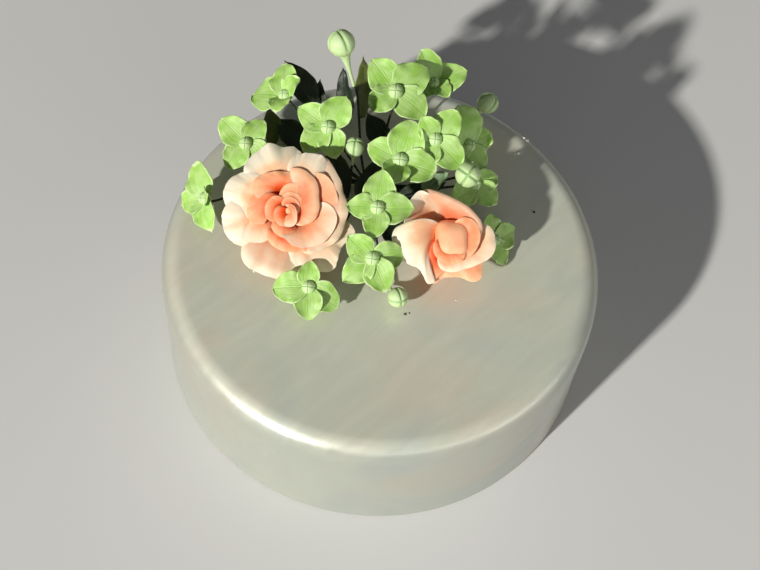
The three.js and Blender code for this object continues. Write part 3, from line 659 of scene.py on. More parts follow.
LARGE_ROSE = dict(at=(-53.0, 18.0, 87.5), tilt=28.0, toward=270.0)
# A tone below 1 is painted shade on a petal that lies in shade
LARGE_PETALS = [
    # The outer petals, whose rims bend down
    dict(rim=[(56, 29, 31), (72, 32, 31), (84, 33, 31.5), (92, 36.5, 31), (101, 36.2, 31.5),
              (113, 39.3, 31), (123, 38.4, 31), (135, 37.8, 31), (147, 35.5, 31), (158, 32, 31)],
         fall=6.5, dips=(2, 3), ruffle=0.9),
    dict(rim=[(166, 33, 31), (181, 36, 31), (195, 38, 31), (210, 36.4, 31), (222, 33.4, 31),
              (236, 30, 31)],
         fall=3.5, dips=(3, 1), ruffle=0.7, ring=0.12, tone=0.92),
    dict(rim=[(133, 33, 32), (146, 35.2, 32), (157, 37.8, 32), (170, 38, 32), (181, 36, 32),
              (196, 33, 32)],
         fall=7, dips=(0, 0), ruffle=0.5),
    dict(rim=[(204, 31, 30.4), (220, 33.4, 30), (233, 37.6, 30), (246, 38.4, 30), (261, 37.6, 30),
              (273, 38.2, 30), (288, 33.4, 30), (302, 31, 30.4)],
         fall=2.5, dips=(3, 3), ruffle=0.8, ring=0.17, tone=0.7),
    dict(rim=[(270, 31, 30.8), (286, 33.4, 30.8), (302, 38, 30.6), (313, 40.2, 30.4), (324, 36, 30.6),
              (334, 35.6, 30.8), (347, 39.5, 30), (364, 33, 30)],
         fall=3, dips=(0.5, 2), ruffle=1.1, ring=0.17, tone=0.9),
    # The upright right side, whose rim is rolled back, and the lit petal that covers its upper end
    dict(rim=[(-74, 24, 29), (-56, 27, 29), (-40, 29.6, 29.4), (-20, 31.6, 30.4), (0, 32.4, 31.4),
              (19, 32.2, 31.6), (35, 32.8, 31), (47, 34, 30), (58, 36.8, 28.6), (72, 35, 28)],
         fall=-4, bow=2, opening=1.0, tuck=0.1, dips=(1, 2), roll=1.3, ruffle=0.9, ring=0.22,
         tone=0.82),
    dict(rim=[(43, 27, 33.8), (50, 31.5, 33.8), (60, 34.6, 33.8), (72, 34.4, 33.4), (84, 33, 33),
              (98, 31, 32.4)],
         fall=3.5, dips=(0, 0), tuck=0.2, ruffle=0.9, ring=0.1),
    # The broad petals inside them
    dict(rim=[(-24, 24, 31), (0, 26.6, 31.4), (20, 27.6, 31.6), (40, 28.4, 31.6), (56, 27.4, 31.4),
              (74, 25, 31)],
         fall=-3, bow=2, opening=1.1, dips=(3, 3), ruffle=0.3, ring=0.5),
    dict(rim=[(258, 15, 31.4), (285, 20, 31.4), (303, 23, 31.6), (318, 25.4, 32), (335, 26.8, 32.2),
              (352, 27.2, 32.4), (366, 26.6, 32.2), (380, 24, 32)],
         fall=-3, bow=2, opening=1.1, twist=-16, tuck=0.2, dips=(0, 0), ruffle=0.3, ring=0.25),
    # The second ring
    dict(rim=[(188, 22, 32), (200, 24, 32), (209, 28, 31.8), (217, 30, 31.6), (228, 26, 32),
              (244, 22, 32)],
         fall=2, dips=(2, 1), ruffle=0.2, twist=30, ring=0.25),
    dict(rim=[(226, 20, 32.8), (244, 21, 32.8), (258, 22, 32.8), (273, 22.6, 32.8), (290, 23.6, 32.8),
              (305, 24.6, 32.4), (324, 23, 32)],
         root=8, fall=1, dips=(1, 3), ruffle=0.4, twist=10, ring=0.55),
    dict(rim=[(142, 20, 33.6), (160, 21.4, 33.6), (177, 22.9, 33.6), (187, 23.2, 33.6), (199, 23, 33.4),
              (214, 21, 33)],
         fall=1.2, dips=(3, 0), ruffle=0.2, twist=50, tuck=0.25, ring=0.5),
    dict(rim=[(74, 20, 34), (88, 21.4, 34), (100, 21.6, 34), (118, 23, 34), (135, 25.2, 34),
              (148, 25.4, 34), (165, 23, 34)],
         root=8, fall=1.2, dips=(3, 0), ruffle=0.3, twist=45, tuck=0.25, ring=0.5),
    # The inner petals, wound towards the heart
    dict(rim=[(214, 12, 34), (234, 14, 34), (250, 15, 33.8), (266, 15.4, 33.4), (284, 16, 32.8),
              (302, 16, 32)],
         fall=0.4, dips=(2, 2), ruffle=0.3, twist=20, ring=0.65),
    dict(rim=[(-64, 8, 30.8), (-48, 10.6, 31.6), (-27, 13.4, 32.4), (-10, 15.8, 33.2), (8, 16.8, 33.6),
              (28, 18.2, 33.8), (42, 20.4, 33.8), (54, 22.4, 33.6), (66, 23.4, 33.4), (78, 24.4, 33.2),
              (94, 25.4, 33)],
         root=1.0, fall=-2.6, bow=1.6, opening=1.1, lean=7, tuck=0.1, dips=(0, 1), roll=0.7, ruffle=0.2,
         ring=0.4),
    dict(rim=[(0, 10.6, 32.6), (24, 12, 33), (50, 14, 33.4), (76, 15.4, 33.6), (100, 14.4, 33.4),
              (130, 10.8, 33)],
         root=1.0, fall=-0.8, bow=2, lean=6, dips=(1.5, 0), ruffle=0.1, tuck=0.1, twist=12, ring=0.45),
    dict(rim=[(118, 10, 34.8), (140, 11.4, 34.8), (160, 12.6, 34.8), (184, 13.2, 34.8),
              (210, 12.6, 34.6), (238, 10, 34)],
         root=1.0, dips=(0, 2), ruffle=0.2, twist=40, ring=0.7),
    dict(rim=[(-20, 6.6, 32.6), (16, 8, 33.2), (50, 9.6, 33.8), (80, 10.2, 34), (106, 9.6, 34),
              (138, 7.4, 34)],
         root=1.0, fall=-0.6, bow=2, lean=6, dips=(1.5, 0.5), ruffle=0.1, tuck=0.1, twist=14,
         ring=0.45),
    dict(rim=[(150, 6, 35.2), (180, 7.6, 35.2), (205, 8.8, 35), (230, 9.6, 34.6), (254, 9.8, 34.4),
              (280, 8.6, 34)],
         root=1.0, lean=9, dips=(1, 2), ruffle=0.1, twist=34, ring=0.6),
    dict(rim=[(-30, 5, 32.8), (10, 6, 33.6), (50, 7, 34.2), (84, 7.3, 34.6), (112, 6.8, 34.8),
              (150, 5.4, 34.8)],
         root=1.0, fall=-0.6, bow=2, lean=6, dips=(1.5, 0.5), ruffle=0.0, tuck=0.1, twist=16,
         ring=0.45),
    dict(rim=[(-130, 8.4, 33.4), (-100, 9.2, 34), (-62, 8.8, 35.2), (-30, 5.8, 36.4), (0, 4.4, 36.8),
              (36, 3.8, 36.9), (76, 3.5, 36.8), (130, 3.2, 36.4)],
         root=0.6, lean=9, tuck=0.05, dips=(0, 0), ruffle=0.0, ring=0.35),
]
SMALL_ROSE = dict(at=(36.0, 10.0, 87.5), tilt=26.0, toward=270.0)
# A tone below 1 is painted shade on a petal that lies in shade
SMALL_PETALS = [
    # The lower petal in the shade, and one behind it that closes the gap beside the left petal
    dict(rim=[(240, 23, 26), (257, 27, 26), (267, 22.4, 26), (279, 21.6, 26.4), (291, 22.6, 26.6),
              (305, 27.8, 26.6), (314, 28.4, 26.6), (323, 25.6, 26.6), (338, 22, 26.6)],
         fall=2.5, dips=(1, 1), tuck=0.1, ruffle=0.2, ring=0.45),
    dict(rim=[(190, 13, 28), (208, 15, 28), (226, 18.5, 28), (240, 23, 27.4), (252, 26.6, 27),
              (262, 21, 27), (280, 15, 27)],
         lean=3, fall=1, dips=(1, 1), tuck=0.15, twist=10, ruffle=0.2, ring=0.9),
    # The right petal, which wraps round below the bud
    dict(rim=[(244, 15, 27.4), (258, 18.3, 27.6), (278, 19.5, 27.8), (296, 19.4, 28), (312, 20.6, 28.2),
              (326, 22.4, 28.4), (335, 24.6, 28.6), (345, 25.8, 28.6), (361, 25.6, 28.4), (371, 25.4, 28),
              (381, 24.1, 27.6), (393, 20.5, 27)],
         lean=2.6, fall=-1.6, bow=2, tuck=0.15, dips=(1, 1), roll=0.7, ruffle=0.3, ring=0.2),
    # The upright petals at the top left and the top right, whose rim is rolled back
    dict(rim=[(52, 13, 24), (68, 15.4, 25), (85, 16.8, 26.4), (104, 19.4, 28.6), (118, 24, 32),
              (128, 29.6, 35.4), (140, 29.6, 35), (152, 28, 33.4), (166, 27, 31), (184, 24, 29)],
         root=7, lean=1.15, opening=1.0, dips=(0, 0), tuck=0.1, ruffle=0.3, ring=0.05, tone=0.85),
    dict(rim=[(-14, 12.4, 29), (-4, 14.6, 30.6), (12, 17.8, 32.4), (31, 19.3, 33.6), (51, 19.2, 34),
              (74, 20.2, 34), (98, 22.9, 34.4), (112, 26.6, 34.6), (122, 29.6, 34.2), (132, 29, 33)],
         lean=1.7, opening=1.0, tuck=0.05, dips=(0, 0), roll=1.7, ruffle=0.15, ring=0.3, tone=0.74),
    # The broad left petal, whose foot is wound round the bud
    dict(rim=[(168, 28, 33), (176, 31, 34), (186, 31.8, 34.4), (196, 31, 34.4), (207, 29.6, 34.2),
              (219, 27, 33.6), (231, 24.4, 32.4), (242, 26, 31), (252, 29.2, 30), (258, 28, 29.4)],
         fall=3.4, lean=3.4, tuck=0.08, dips=(0.5, 0.5), twist=80, ruffle=0.3, ring=0.0),
    # The inner petals, close round the bud
    dict(rim=[(-84, 12, 29), (-56, 14.6, 30), (-24, 16, 31), (4, 16.6, 32), (30, 16.4, 32.6),
              (54, 15, 32.6), (76, 12.4, 32)],
         lean=3, dips=(1, 1), ruffle=0.2, twist=20, ring=1.0),
    dict(rim=[(196, 9.6, 31.4), (222, 11.8, 31.6), (250, 14, 31.8), (276, 15, 32), (304, 15, 32),
              (330, 13.4, 31.6)],
         ruffle=0.2, dips=(2, 1), twist=15, ring=0.5),
]


def make_rose(name, place, heart, petals, node_name):
    """All petals of a rose and its heart, in one mesh, turned to where the rose faces."""
    axes, at = facing(**place)
    parts = [heart] + [rose_petal(**petal) for petal in petals]
    make_piece(name, [moved(part, axes, at) for part in parts], rose_sugar, "rose_sugar", node_name)


make_rose("large_rose", LARGE_ROSE, rose_heart(2.6, 36.4), LARGE_PETALS, "rose_large")
small_heart = rose_heart(10.4, 34.4, stretch=1.16, fold=0.02, aside=(3.0, -1.6))
make_rose("small_rose", SMALL_ROSE, small_heart, SMALL_PETALS, "rose_small")

# %% [markdown]
# ## The blossoms' finish
# The green blossoms are thin sheets of light green paste, clouded with lime, and paler at the foot and along
# the rim, with veins pressed in. The pale rim is partly the paste's own paler edge and partly a painted
# highlight where the rim catches the light. The ball in the middle is paler still. The third petal number is
# 1 on the ball, where the second number says how deep in its cross groove a point lies.

# %% The blossoms' finish
VEIN_GREEN = paint(128, 174, 62)
LIME = paint(147, 197, 70)
PALE_GREEN = paint(177, 211, 126)
# Paler green along the rim: the paste's own edge and a painted highlight
RIM_GREEN_AND_HIGHLIGHT = paint(208, 232, 166)
BALL_GREEN = paint(199, 224, 162)
GROOVE_GREEN = paint(150, 188, 116)

blossom_sugar, tree, shader, position, parts, shade = sugar_material("blossom_sugar", 0.5, 0.15, 1.2)
paste = paste_grain(tree, position, 1900.0, 160.0)
lines = vein_lines(tree, parts, position, 7.0)
blush = mix(tree, math(tree, "MULTIPLY", paste["Clouds"], 0.85), PALE_GREEN, LIME)
dusted = dust(tree, parts, paste, PALE_GREEN, blush, RIM_GREEN_AND_HIGHLIGHT, fade=(0.1, 0.55), rim_width=0.08)
veined = mix(tree, math(tree, "MULTIPLY", lines["Mask"], 0.18), dusted, VEIN_GREEN)
ball = mix(tree, parts[1], BALL_GREEN, GROOVE_GREEN)
shaded = {"Value": shade, "Color": mix(tree, parts[2], veined, ball)}
tree.links.new(node(tree, "HueSaturation", shaded).outputs[0], shader.inputs["Base Color"])
off_ball = math(tree, "SUBTRACT", 1.0, parts[2])
set_bump(tree, shader, math(tree, "MULTIPLY_ADD", lines["Height"], off_ball, paste["Height"]), 0.12)
print("blossom nodes:", len(tree.nodes))

# %% [markdown]
# ## The blossoms
# A blossom has four petals round a ball. Each petal is cut wide, with a soft tip, cupped and set at its own
# height, so no two are alike. The ball is a sphere with two grooves pressed across it, square to each
# other. Each row of the table gives a blossom's place, how far and which way it tilts, how steeply its
# petals rise, and for each petal the direction round the ball, the length, and by how many degrees more it
# rises.

# %% The blossoms
PETAL_WIDTH = 0.94
BALL_SHARE = 0.205
PETAL_GAP = 0.12
PETAL_STEPS = (40, 25)
BLOSSOMS = [
    dict(at=(-101, 17, 98), tilt=46, toward=215, cup=22,
         petals=[(15, 13, 40), (112, 22, 0), (192, 19, 0), (285, 19, 0)]),
    dict(at=(-83, 50, 108), tilt=32, toward=268, cup=18,
         petals=[(60, 17, 0), (137, 20, 0), (233, 18, 0), (325, 18, 0)]),
    dict(at=(-63, 77, 119), tilt=24, toward=200, cup=26,
         petals=[(38, 16, 30), (96, 21, 0), (167, 24, -12), (262, 15, 26)]),
    dict(at=(-37, 55, 124), tilt=30, toward=268, cup=18,
         petals=[(67, 20, 0), (147, 20, 0), (228, 19, 0), (292, 18, 0)]),
    dict(at=(-1, 86, 122), tilt=26, toward=270, cup=18,
         petals=[(47, 23, 0), (133, 23, 0), (215, 18, 8), (328, 22, 0)]),
    dict(at=(20, 101, 113), tilt=16, toward=300, cup=32,
         petals=[(28, 21, 0), (132, 22, 26), (215, 16, 0), (318, 14, 16)]),
    dict(at=(5, 36, 126), tilt=26, toward=268, cup=18,
         petals=[(76, 24, 0), (154, 20, 0), (256, 18, 30), (345, 21, 0)]),
    dict(at=(23, 49, 131), tilt=32, toward=275, cup=18,
         petals=[(57, 20, 0), (130, 16, 26), (240, 19, 0), (322, 21, 0)]),
    dict(at=(-5, 5, 124), tilt=28, toward=270, cup=16,
         petals=[(2, 20, 0), (88, 21, 0), (180, 17, 6), (270, 17, 6)]),
    dict(at=(-5, -20, 112), tilt=32, toward=270, cup=16,
         petals=[(13, 18, -10), (145, 18, 6), (224, 20, 0), (300, 20, 0)]),
    dict(at=(-38, -34, 98), tilt=24, toward=262, cup=16,
         petals=[(95, 15, 8), (185, 20, 0), (275, 18, 0), (332, 19, -10)]),
    dict(at=(42, 57, 117), tilt=38, toward=325, cup=24,
         petals=[(38, 17, 0), (118, 24, 10), (215, 14, 0), (308, 18, 0)]),
    dict(at=(48, 36, 110), tilt=34, toward=300, cup=16,
         petals=[(28, 15, 0), (115, 14, 0), (222, 18, 0), (325, 17, 0)]),
    dict(at=(61, 8, 98), tilt=44, toward=330, cup=18,
         petals=[(25, 17, 0), (115, 15, 0), (205, 15, 0), (305, 16, 0)]),
]


def petal_surface(s, t, length, width, cup, bend, trough, wave, phase=0.0, flick=0.0, close=0.72, point=0.07,
                  sweep=0.0, nick=0.0):
    """The midrib is an arc of a circle that leaves the foot at the cup angle, and sweeps sideways by a power.
    The width grows by a quarter sine and closes by a power of 1 - s; a lower power makes a rounder end. The
    sides stand up like a trough, with waves along them, and two sines nick their edges."""
    start, turn = np.radians(cup), np.radians(bend)
    along = length / turn * (np.sin(start + turn * s) - np.sin(start))
    lift = length / turn * (np.cos(start) - np.cos(start + turn * s))
    side = 2.0 * t - 1.0
    rise = 0.35 + 0.65 * np.sin(0.5 * np.pi * np.minimum(1.0, s / 0.5))
    half = 0.5 * width * (rise * (1.0 - s ** 2.8) ** close + 0.05 * s ** 8)
    rough = np.sin(14.0 * s + 4.0 * phase + 2.0 * np.sign(side)) + 0.7 * np.sin(31.0 * s - 3.0 * phase)
    half = half * (1.0 + nick * rough * smoothstep(0.25, 0.6, s))
    tip = point * length * s ** 6 * (1.0 - np.abs(side))
    edge = trough * half * side ** 2 + wave * side * np.abs(side) * np.sin(2.2 * np.pi * s + phase)
    ripple = 0.35 * wave * side ** 2 * np.sin(6.0 * np.pi * s + 2.0 * phase) * smoothstep(0.1, 0.5, s)
    sideways = half * side + sweep * length * s ** 2.5
    return np.stack([along + tip, sideways, lift + edge + ripple + flick * s ** 5], -1)


def grooved_ball(radius, groove=0.08, width=0.07):
    """A sphere from its foot to its top, pressed in where it is near the planes x = 0 and y = 0."""
    polar = np.radians(np.linspace(172.0, 3.0, 44))[:, None]
    angle = np.linspace(0.0, 2.0 * np.pi, 80, endpoint=False)[None, :]
    x, y = np.sin(polar) * np.cos(angle), np.sin(polar) * np.sin(angle)
    pressed = np.exp(-(np.minimum(np.abs(x), np.abs(y)) / width) ** 2)
    pressed = pressed * smoothstep(-0.7, 0.1, np.cos(polar))
    size = radius * (1.0 - groove * pressed)
    rings = np.stack([size * x, size * y, size * np.cos(polar) * np.ones_like(angle)], -1)
    last = [0.0, 0.0, radius * (1.0 - groove)]
    return rings, [0.0, 0.0, -radius], last, pressed


def blossom_parts(chance, cup, petals):
    """Four petals turned to their directions, each a little different, and the grooved ball."""
    s, t = petal_grid(*PETAL_STEPS)
    parts = []
    for number, (direction, length, rise) in enumerate(petals):
        width = PETAL_WIDTH * length * chance.uniform(0.97, 1.08)
        points = petal_surface(
            s, t, length, width, cup + rise,
            bend=chance.uniform(-44.0, -22.0), trough=chance.uniform(0.12, 0.34), wave=0.06 * length,
            phase=chance.uniform(-1.2, 1.2), flick=chance.uniform(-2.4, 1.4), close=chance.uniform(0.5, 0.76),
            point=chance.uniform(0.0, 0.07), sweep=chance.uniform(-0.06, 0.06), nick=0.016,
        )
        petal = shell(points, thinned(s, t, 0.95, 0.25, 0.45), (s, t, 0.0), chance.uniform(0.9, 1.06))
        x, y = turned_pair(np.array([1.0, 0.0, 0.0]), np.array([0.0, 1.0, 0.0]), direction)
        axes = np.column_stack([x, y, [0.0, 0.0, 1.0]])
        parts.append(moved(petal, axes, np.array([0.0, 0.0, PETAL_GAP * number])))
    radius = BALL_SHARE * np.mean([length for _, length, _ in petals])
    rings, first, last, pressed = grooved_ball(radius)
    ball = turned(rings, first, last, (0.5, pressed, 1.0), 1.0)
    parts.append(moved(ball, np.eye(3), np.array([0.0, 0.0, 0.5 * radius])))
    return parts


for number, blossom in enumerate(BLOSSOMS, start=1):
    axes, at = facing(blossom["at"], blossom["tilt"], blossom["toward"])
    chance = np.random.default_rng(number)
    parts = [moved(part, axes, at) for part in blossom_parts(chance, blossom["cup"], blossom["petals"])]
    make_piece(f"green_blossom_{number:02d}", parts, blossom_sugar, "blossom_sugar", f"blossom_{number:02d}")

# %% [markdown]
# ## The buds
# A bud is the same grooved ball on a neck that tapers back to its wire, so the ball's rings are carried on
# down the neck. It is a pale green, like the blossoms' balls.

# %% The buds
BUD_GREEN = paint(197, 219, 164)
BUD_GROOVE = paint(152, 188, 120)
NECK_FOOT_RADIUS = 0.9
BUDS = [
    dict(at=(-34, 95, 150), tilt=30, toward=130, roll=30, radius=7.8, neck=20),
    dict(at=(-21, 48, 118), tilt=5, toward=60, roll=0, radius=5.7, neck=10),
    dict(at=(43, 31, 126), tilt=34, toward=270, roll=60, radius=7, neck=10),
    dict(at=(53, 94, 110), tilt=50, toward=30, roll=20, radius=6.2, neck=12),
    dict(at=(11, -33, 95), tilt=60, toward=300, roll=10, radius=5.6, neck=8),
]

bud_sugar, tree, shader, position, parts, shade = sugar_material("bud_sugar", 0.5, 0.2, 1.5)
paste = paste_grain(tree, position, 1900.0, 200.0)
clouded = mix(tree, math(tree, "MULTIPLY", paste["Clouds"], 0.35), BUD_GREEN, PALE_GREEN)
tree.links.new(mix(tree, parts[1], clouded, BUD_GROOVE), shader.inputs["Base Color"])
set_bump(tree, shader, paste["Height"], 0.1)


def bud_part(radius, neck):
    """The neck's radius grows by a power from the wire to half the ball's, and the grooved ball follows."""
    rings, _, last, pressed = grooved_ball(radius, groove=0.12, width=0.11)
    keep = rings[:, 0, 2] > -0.84 * radius
    share = np.linspace(0.0, 1.0, 18)[:, None]
    angle = np.linspace(0.0, 2.0 * np.pi, rings.shape[1], endpoint=False)[None, :]
    foot_z = -radius - neck
    neck_radius = NECK_FOOT_RADIUS + (0.5 * radius - NECK_FOOT_RADIUS) * share ** 3.2
    neck_z = foot_z + (neck + 0.2 * radius) * share
    x, y = neck_radius * np.cos(angle), neck_radius * np.sin(angle)
    stalk = np.stack([x, y, neck_z * np.ones_like(angle)], -1)
    groove = np.concatenate([np.zeros((len(share), rings.shape[1])), pressed[keep]])
    return turned(np.concatenate([stalk, rings[keep]]), [0.0, 0.0, foot_z], last, (0.5, groove, 1.0), 1.0)


for number, bud in enumerate(BUDS, start=1):
    axes, at = facing(bud["at"], bud["tilt"], bud["toward"], bud["roll"])
    part = moved(bud_part(bud["radius"], bud["neck"]), axes, at)
    make_piece(f"green_bud_{number:02d}", [part], bud_sugar, "bud_sugar", f"bud_{number:02d}")

# %% [markdown]
# ## The leaves
# Dark leaves fill the gaps of the spray, and a few are olive or grey green. The darkest green is partly the
# leaves' own colour and partly painted shade, for the deep shade in the gaps they fill. A leaf is the petal's
# surface drawn long, with a deeper trough and waves along its sides, and the same veins, branching from a
# strong midrib.

# %% The leaves
OLIVE = (paint(84, 96, 40), paint(108, 120, 56))
GREY_GREEN = (paint(104, 128, 92), paint(140, 166, 126))
# The darkest leaf green: the leaves' own colour and painted shade for the deep gaps of the spray
DARK_GREEN_AND_SHADE = (paint(24, 38, 20), paint(40, 60, 32))
LEAF_STEPS = (36, 21)
LEAVES = [
    dict(at=(-71, 65, 86.3), to=(-74, 83, 98), width=14, turn=30, tone=OLIVE),
    dict(at=(20, 31, 106), to=(32, 37, 117), width=12, turn=10, tone=GREY_GREEN),
    dict(at=(-47, 88, 100), to=(-66, 101, 120), width=17, turn=-20, tone=DARK_GREEN_AND_SHADE),
    dict(at=(-49, 82, 86.3), to=(-46, 99, 108), width=13, turn=20, tone=DARK_GREEN_AND_SHADE),
    dict(at=(-20, 92, 86.3), to=(-22, 110, 119), width=14, turn=30, tone=OLIVE),
    dict(at=(-28, 92, 86.3), to=(-33, 106, 112), width=12, turn=-30, tone=DARK_GREEN_AND_SHADE),
    dict(at=(-3, 67, 86.3), to=(-16, 86, 98), width=16, turn=0, tone=DARK_GREEN_AND_SHADE),
    dict(at=(-25, 30, 91), to=(-36, 56, 100), width=17, turn=10, tone=DARK_GREEN_AND_SHADE),
    dict(at=(-14, 26, 92.6), to=(-6, 50, 106), width=16, turn=-10, tone=DARK_GREEN_AND_SHADE),
    dict(at=(-50, 62, 86.3), to=(-68, 80, 93), width=18, turn=0, tone=DARK_GREEN_AND_SHADE),
    dict(at=(6, 28, 91), to=(31, 40, 102), width=16, turn=0, tone=DARK_GREEN_AND_SHADE),
    dict(at=(2, 20, 86.3), to=(8, -6, 93), width=13, turn=0, tone=DARK_GREEN_AND_SHADE),
]


def leaf_material(name, body, rim):
    """Leaf green with the shared dusting and veins, and a faint waxy shine."""
    material, tree, shader, position, parts, shade = sugar_material(name, 0.42, 0.05, 1.0)
    paste = paste_grain(tree, position, 1500.0, 180.0)
    lines = vein_lines(tree, parts, position, 5.0)
    dusted = dust(tree, parts, paste, body, body, rim, fade=(0.0, 0.4), rim_width=0.2)
    veined = mix(tree, math(tree, "MULTIPLY", lines["Mask"], 0.5), dusted, rim)
    tree.links.new(veined, shader.inputs["Base Color"])
    set_bump(tree, shader, math(tree, "ADD", lines["Height"], paste["Height"]), 0.2)
    return material


leaf_finishes = {
    OLIVE: leaf_material("olive_leaf", *OLIVE),
    GREY_GREEN: leaf_material("grey_green_leaf", *GREY_GREEN),
    DARK_GREEN_AND_SHADE: leaf_material("dark_leaf_and_shade", *DARK_GREEN_AND_SHADE),
}


def leaf_part(at, to, width, turn):
    """A petal surface from the leaf's foot to its tip, whose upper side is turned about that line."""
    x = np.subtract(to, at).astype(float)
    length = np.linalg.norm(x)
    x /= length
    y = np.cross([0.0, 0.0, 1.0], x)
    y /= np.linalg.norm(y)
    y, z = turned_pair(y, np.cross(x, y), turn)
    s, t = petal_grid(*LEAF_STEPS)
    points = petal_surface(s, t, length, width, cup=12.0, bend=-24.0, trough=0.3, wave=0.06 * length)
    leaf = shell(points, thinned(s, t, 0.9, 0.3, 0.6), (s, t, 0.0), 1.0)
    return moved(leaf, np.column_stack([x, y, z]), np.array(at, float))


for number, leaf in enumerate(LEAVES, start=1):
    part = leaf_part(leaf["at"], leaf["to"], leaf["width"], leaf["turn"])
    finish = leaf_finishes[leaf["tone"]]
    make_piece(f"spray_leaf_{number:02d}", [part], finish, "leaf_sugar", f"leaf_{number:02d}")

# %% [markdown]
# ## The wires
# The blossoms, the buds and two high leaves sit on wires wound with dark green tape. The wires run down
# behind the flowers and low over the cake to one bundle, wound together, that stands on the top. Each wire
# is a round bar along a smooth curve through a few named places, and the tape's winding is a sine of the
# way along the wire and round it.

# %% The wires
DARK_TAPE = paint(24, 34, 20)
LIGHT_TAPE = paint(48, 64, 36)
TAPE_WINDING = 90.0
TAPE_STEP = 40.0
WIRE_RADIUS = 0.7
WIRE_KNEE = 9.0
WIRE_LIFT = 5.0
WIRE_OVERLAP = 1.0
HIGH_LEAVES = (2, 3)
BUNDLE_AT = np.array([-13.0, 44.0])
BUNDLE_RADIUS = 3.2
BUNDLE_HEIGHT = 6.0
BUNDLE_STEPS = 8
BUNDLE_LEAN = 0.02
WIRE_FOOT = CAKE_HEIGHT + 0.35
DETOURS = {("blossom", 1): (-62.0, 40.0, 90.0), ("blossom", 14): (38.0, 34.0, 90.0)}

wire_tape, tree, shader, position, parts, shade = sugar_material("wire_tape", 0.75, 0.0, 1.0)
once_round = math(tree, "MULTIPLY", parts[1], FULL_TURN)
winding = math(tree, "SINE", math(tree, "MULTIPLY_ADD", parts[0], TAPE_WINDING, once_round))
tape = mix(tree, between(tree, winding, -0.2, 1.0), DARK_TAPE, LIGHT_TAPE)
tree.links.new(tape, shader.inputs["Base Color"])
set_bump(tree, shader, winding, 0.12)


def smooth_path(knots, steps):
    """A curve through the knots: on each stretch a cubic whose slope at a knot is half the way between the
    knots on either side of it."""
    knots = np.array(knots, float)
    padded = np.concatenate([[2.0 * knots[0] - knots[1]], knots, [2.0 * knots[-1] - knots[-2]]])
    t = np.linspace(0.0, 1.0, steps, endpoint=False)[:, None]
    stretches = []
    for a, b, c, d in zip(padded, padded[1:], padded[2:], padded[3:]):
        square, cube = 2.0 * a - 5.0 * b + 4.0 * c - d, 3.0 * b - a - 3.0 * c + d
        stretches.append(0.5 * (2.0 * b + (c - a) * t + square * t ** 2 + cube * t ** 3))
    return np.concatenate([*stretches, knots[-1:]])


def bar(path, radius, sides=10):
    """Rings at the radius, square to the path. They are set out from the direction in which the path strays
    least, so they don't twist. The first petal number is the way along the path, in tape steps."""
    tangent = np.gradient(path, axis=0)
    tangent /= np.linalg.norm(tangent, axis=-1, keepdims=True)
    least = np.linalg.svd(path - path.mean(0))[2][2]
    first = np.cross(tangent, least)
    first /= np.linalg.norm(first, axis=-1, keepdims=True)
    second = np.cross(tangent, first)
    angle = np.linspace(0.0, 2.0 * np.pi, sides, endpoint=False)[None, :, None]
    rings = path[:, None] + radius * (np.cos(angle) * first[:, None] + np.sin(angle) * second[:, None])
    gone = np.cumsum(np.linalg.norm(np.diff(path, axis=0), axis=-1))
    gone = np.concatenate([[0.0], gone]) / TAPE_STEP
    return turned(rings, path[0], path[-1], (gone[:, None], np.arange(sides)[None, :] / sides, 0.0), 1.0)


def wire_part(kind, number, start, axis):
    """From the flower's back down its axis to a knee, low over the cake, and into the bundle."""
    knee = start - axis * WIRE_KNEE
    knee[2] = max(knee[2], WIRE_FOOT + WIRE_LIFT)
    halfway = 0.5 * (knee[:2] + BUNDLE_AT)
    low = DETOURS.get((kind, number), (*halfway, WIRE_FOOT + WIRE_LIFT))
    end = (*BUNDLE_AT, WIRE_FOOT + 0.5 * BUNDLE_HEIGHT)
    return bar(smooth_path([start, knee, low, end], 14), WIRE_RADIUS)


wires = []
for number, blossom in enumerate(BLOSSOMS, start=1):
    axes, at = facing(blossom["at"], blossom["tilt"], blossom["toward"])
    wires.append(wire_part("blossom", number, at, axes[:, 2]))
for number, bud in enumerate(BUDS, start=1):
    axes, at = facing(bud["at"], bud["tilt"], bud["toward"])
    back = bud["radius"] + bud["neck"] - WIRE_OVERLAP
    wires.append(wire_part("bud", number, at - axes[:, 2] * back, axes[:, 2]))
for number in HIGH_LEAVES:
    leaf = LEAVES[number - 1]
    axis = np.subtract(leaf["to"], leaf["at"])
    wires.append(wire_part("leaf", number, np.array(leaf["at"], float), axis / np.linalg.norm(axis)))

# The bundle's post leans by a hair, which gives the bar a side to set its rings out from
post = np.linspace([*BUNDLE_AT, WIRE_FOOT], [*BUNDLE_AT, WIRE_FOOT + BUNDLE_HEIGHT], BUNDLE_STEPS)
post[:, 0] += BUNDLE_LEAN * np.arange(BUNDLE_STEPS)
wires.append(bar(post, BUNDLE_RADIUS, 24))
make_piece("taped_wires", wires, wire_tape, "wire_tape", "stems")

# %% [markdown]
# ## Crumbs of sugar
# A handmade cake keeps a few specks: white crumbs that fell from the dusted petals, near the spray and at
# the shoulder, and three dark ones. Each is a small sphere with a bumpy radius, flattened on the fondant.
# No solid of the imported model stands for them, so they replace no node.

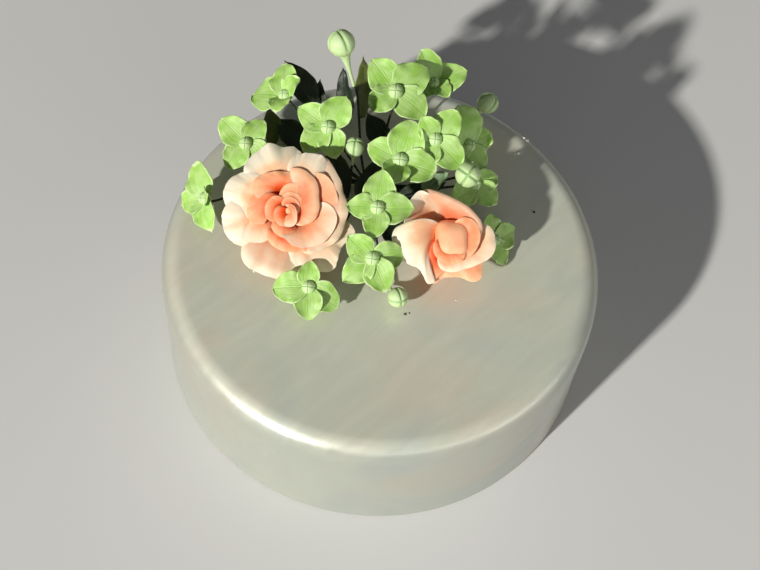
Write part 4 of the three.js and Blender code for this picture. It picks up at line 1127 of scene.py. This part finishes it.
# %% Crumbs of sugar
WHITE_CRUMB = paint(236, 232, 214)
DARK_CRUMB = paint(58, 52, 40)
CRUMBS = [
    dict(at=(80.0, 89.9), size=1.0),
    dict(at=(78.0, 91.4), size=0.7),
    dict(at=(74.4, 78.3), size=0.9),
    dict(at=(72.6, 77.6), size=0.6),
    dict(at=(-70.2, -19.5), size=0.7),
    dict(at=(-66.5, -13.2), size=0.5),
    dict(at=(-68.0, -16.8), size=0.4),
    dict(at=(43.5, -25.5), size=0.35),
    dict(at=(85.2, 37.8), size=0.8, dark=1.0),
    dict(at=(15.9, -37.5), size=0.7, dark=1.0),
    dict(at=(18.2, -36.6), size=0.4, dark=1.0),
]

crumb_sugar, tree, shader, position, parts, shade = sugar_material("crumb_sugar", 0.6, 0.1, 1.0)
tree.links.new(mix(tree, parts[2], WHITE_CRUMB, DARK_CRUMB), shader.inputs["Base Color"])


def crumb_part(at, size, dark=0.0):
    """A sphere whose radius swells and dips with two sines, half as high as it is wide, set on the fondant.
    Over the shoulder's quarter circle it is set lower: by the radius less the circle's height there."""
    over = max(0.0, float(np.hypot(*at)) - (CAKE_RADIUS - SHOULDER_RADIUS)) / SHOULDER_RADIUS
    drop = SHOULDER_RADIUS * (1.0 - np.sqrt(1.0 - over ** 2))
    polar = np.radians(np.linspace(165.0, 15.0, 9))[:, None]
    angle = np.linspace(0.0, 2.0 * np.pi, 14, endpoint=False)[None, :]
    bumps = 0.25 * np.sin(3.0 * angle + 5.0 * at[0]) * np.sin(polar) + 0.15 * np.sin(4.0 * polar)
    bumpy = size * (1.0 + bumps)
    x, y = bumpy * np.sin(polar) * np.cos(angle), bumpy * np.sin(polar) * np.sin(angle)
    z = 0.5 * bumpy * np.cos(polar)
    rings = np.stack([x + at[0], y + at[1], z + CAKE_HEIGHT - drop + 0.1 * size], -1)
    return turned(rings, rings[0].mean(0), rings[-1].mean(0), (0.5, 0.5, dark), 1.0)


make_piece("sugar_crumbs", [crumb_part(**crumb) for crumb in CRUMBS], crumb_sugar, "fondant")

# %% [markdown]
# ## The table top
# The floor is a plain pale sheet, far wider than the view. It isn't part of the cake.

# %% The table top
FLOOR_REACH = 6.0
FLOOR_GREY = paint(208, 207, 203)
FLOOR_PALE = paint(214, 213, 210)

floor_mesh = bpy.data.meshes.new("table_top")
corners = FLOOR_REACH * np.array([[-1.0, -1.0, 0.0], [1.0, -1.0, 0.0], [1.0, 1.0, 0.0], [-1.0, 1.0, 0.0]])
floor_mesh.from_pydata(corners, [], [(0, 1, 2, 3)])
floor = bpy.data.objects.new("table_top", floor_mesh)
bpy.context.scene.collection.objects.link(floor)
table_paint = bpy.data.materials.new("table_paint")
table_paint.use_nodes = True
tree = table_paint.node_tree
shader = tree.nodes["Principled BSDF"]
shader.inputs["Roughness"].default_value = 0.8
position = tree.nodes.new("ShaderNodeTexCoord").outputs["Object"]
mottle = node(tree, "TexNoise", {"Vector": position, "Scale": 3.0, "Detail": 2.0}).outputs[0]
tree.links.new(mix(tree, mottle, FLOOR_GREY, FLOOR_PALE), shader.inputs["Base Color"])
floor_mesh.materials.append(table_paint)
print("table top in metres:", 2.0 * FLOOR_REACH)
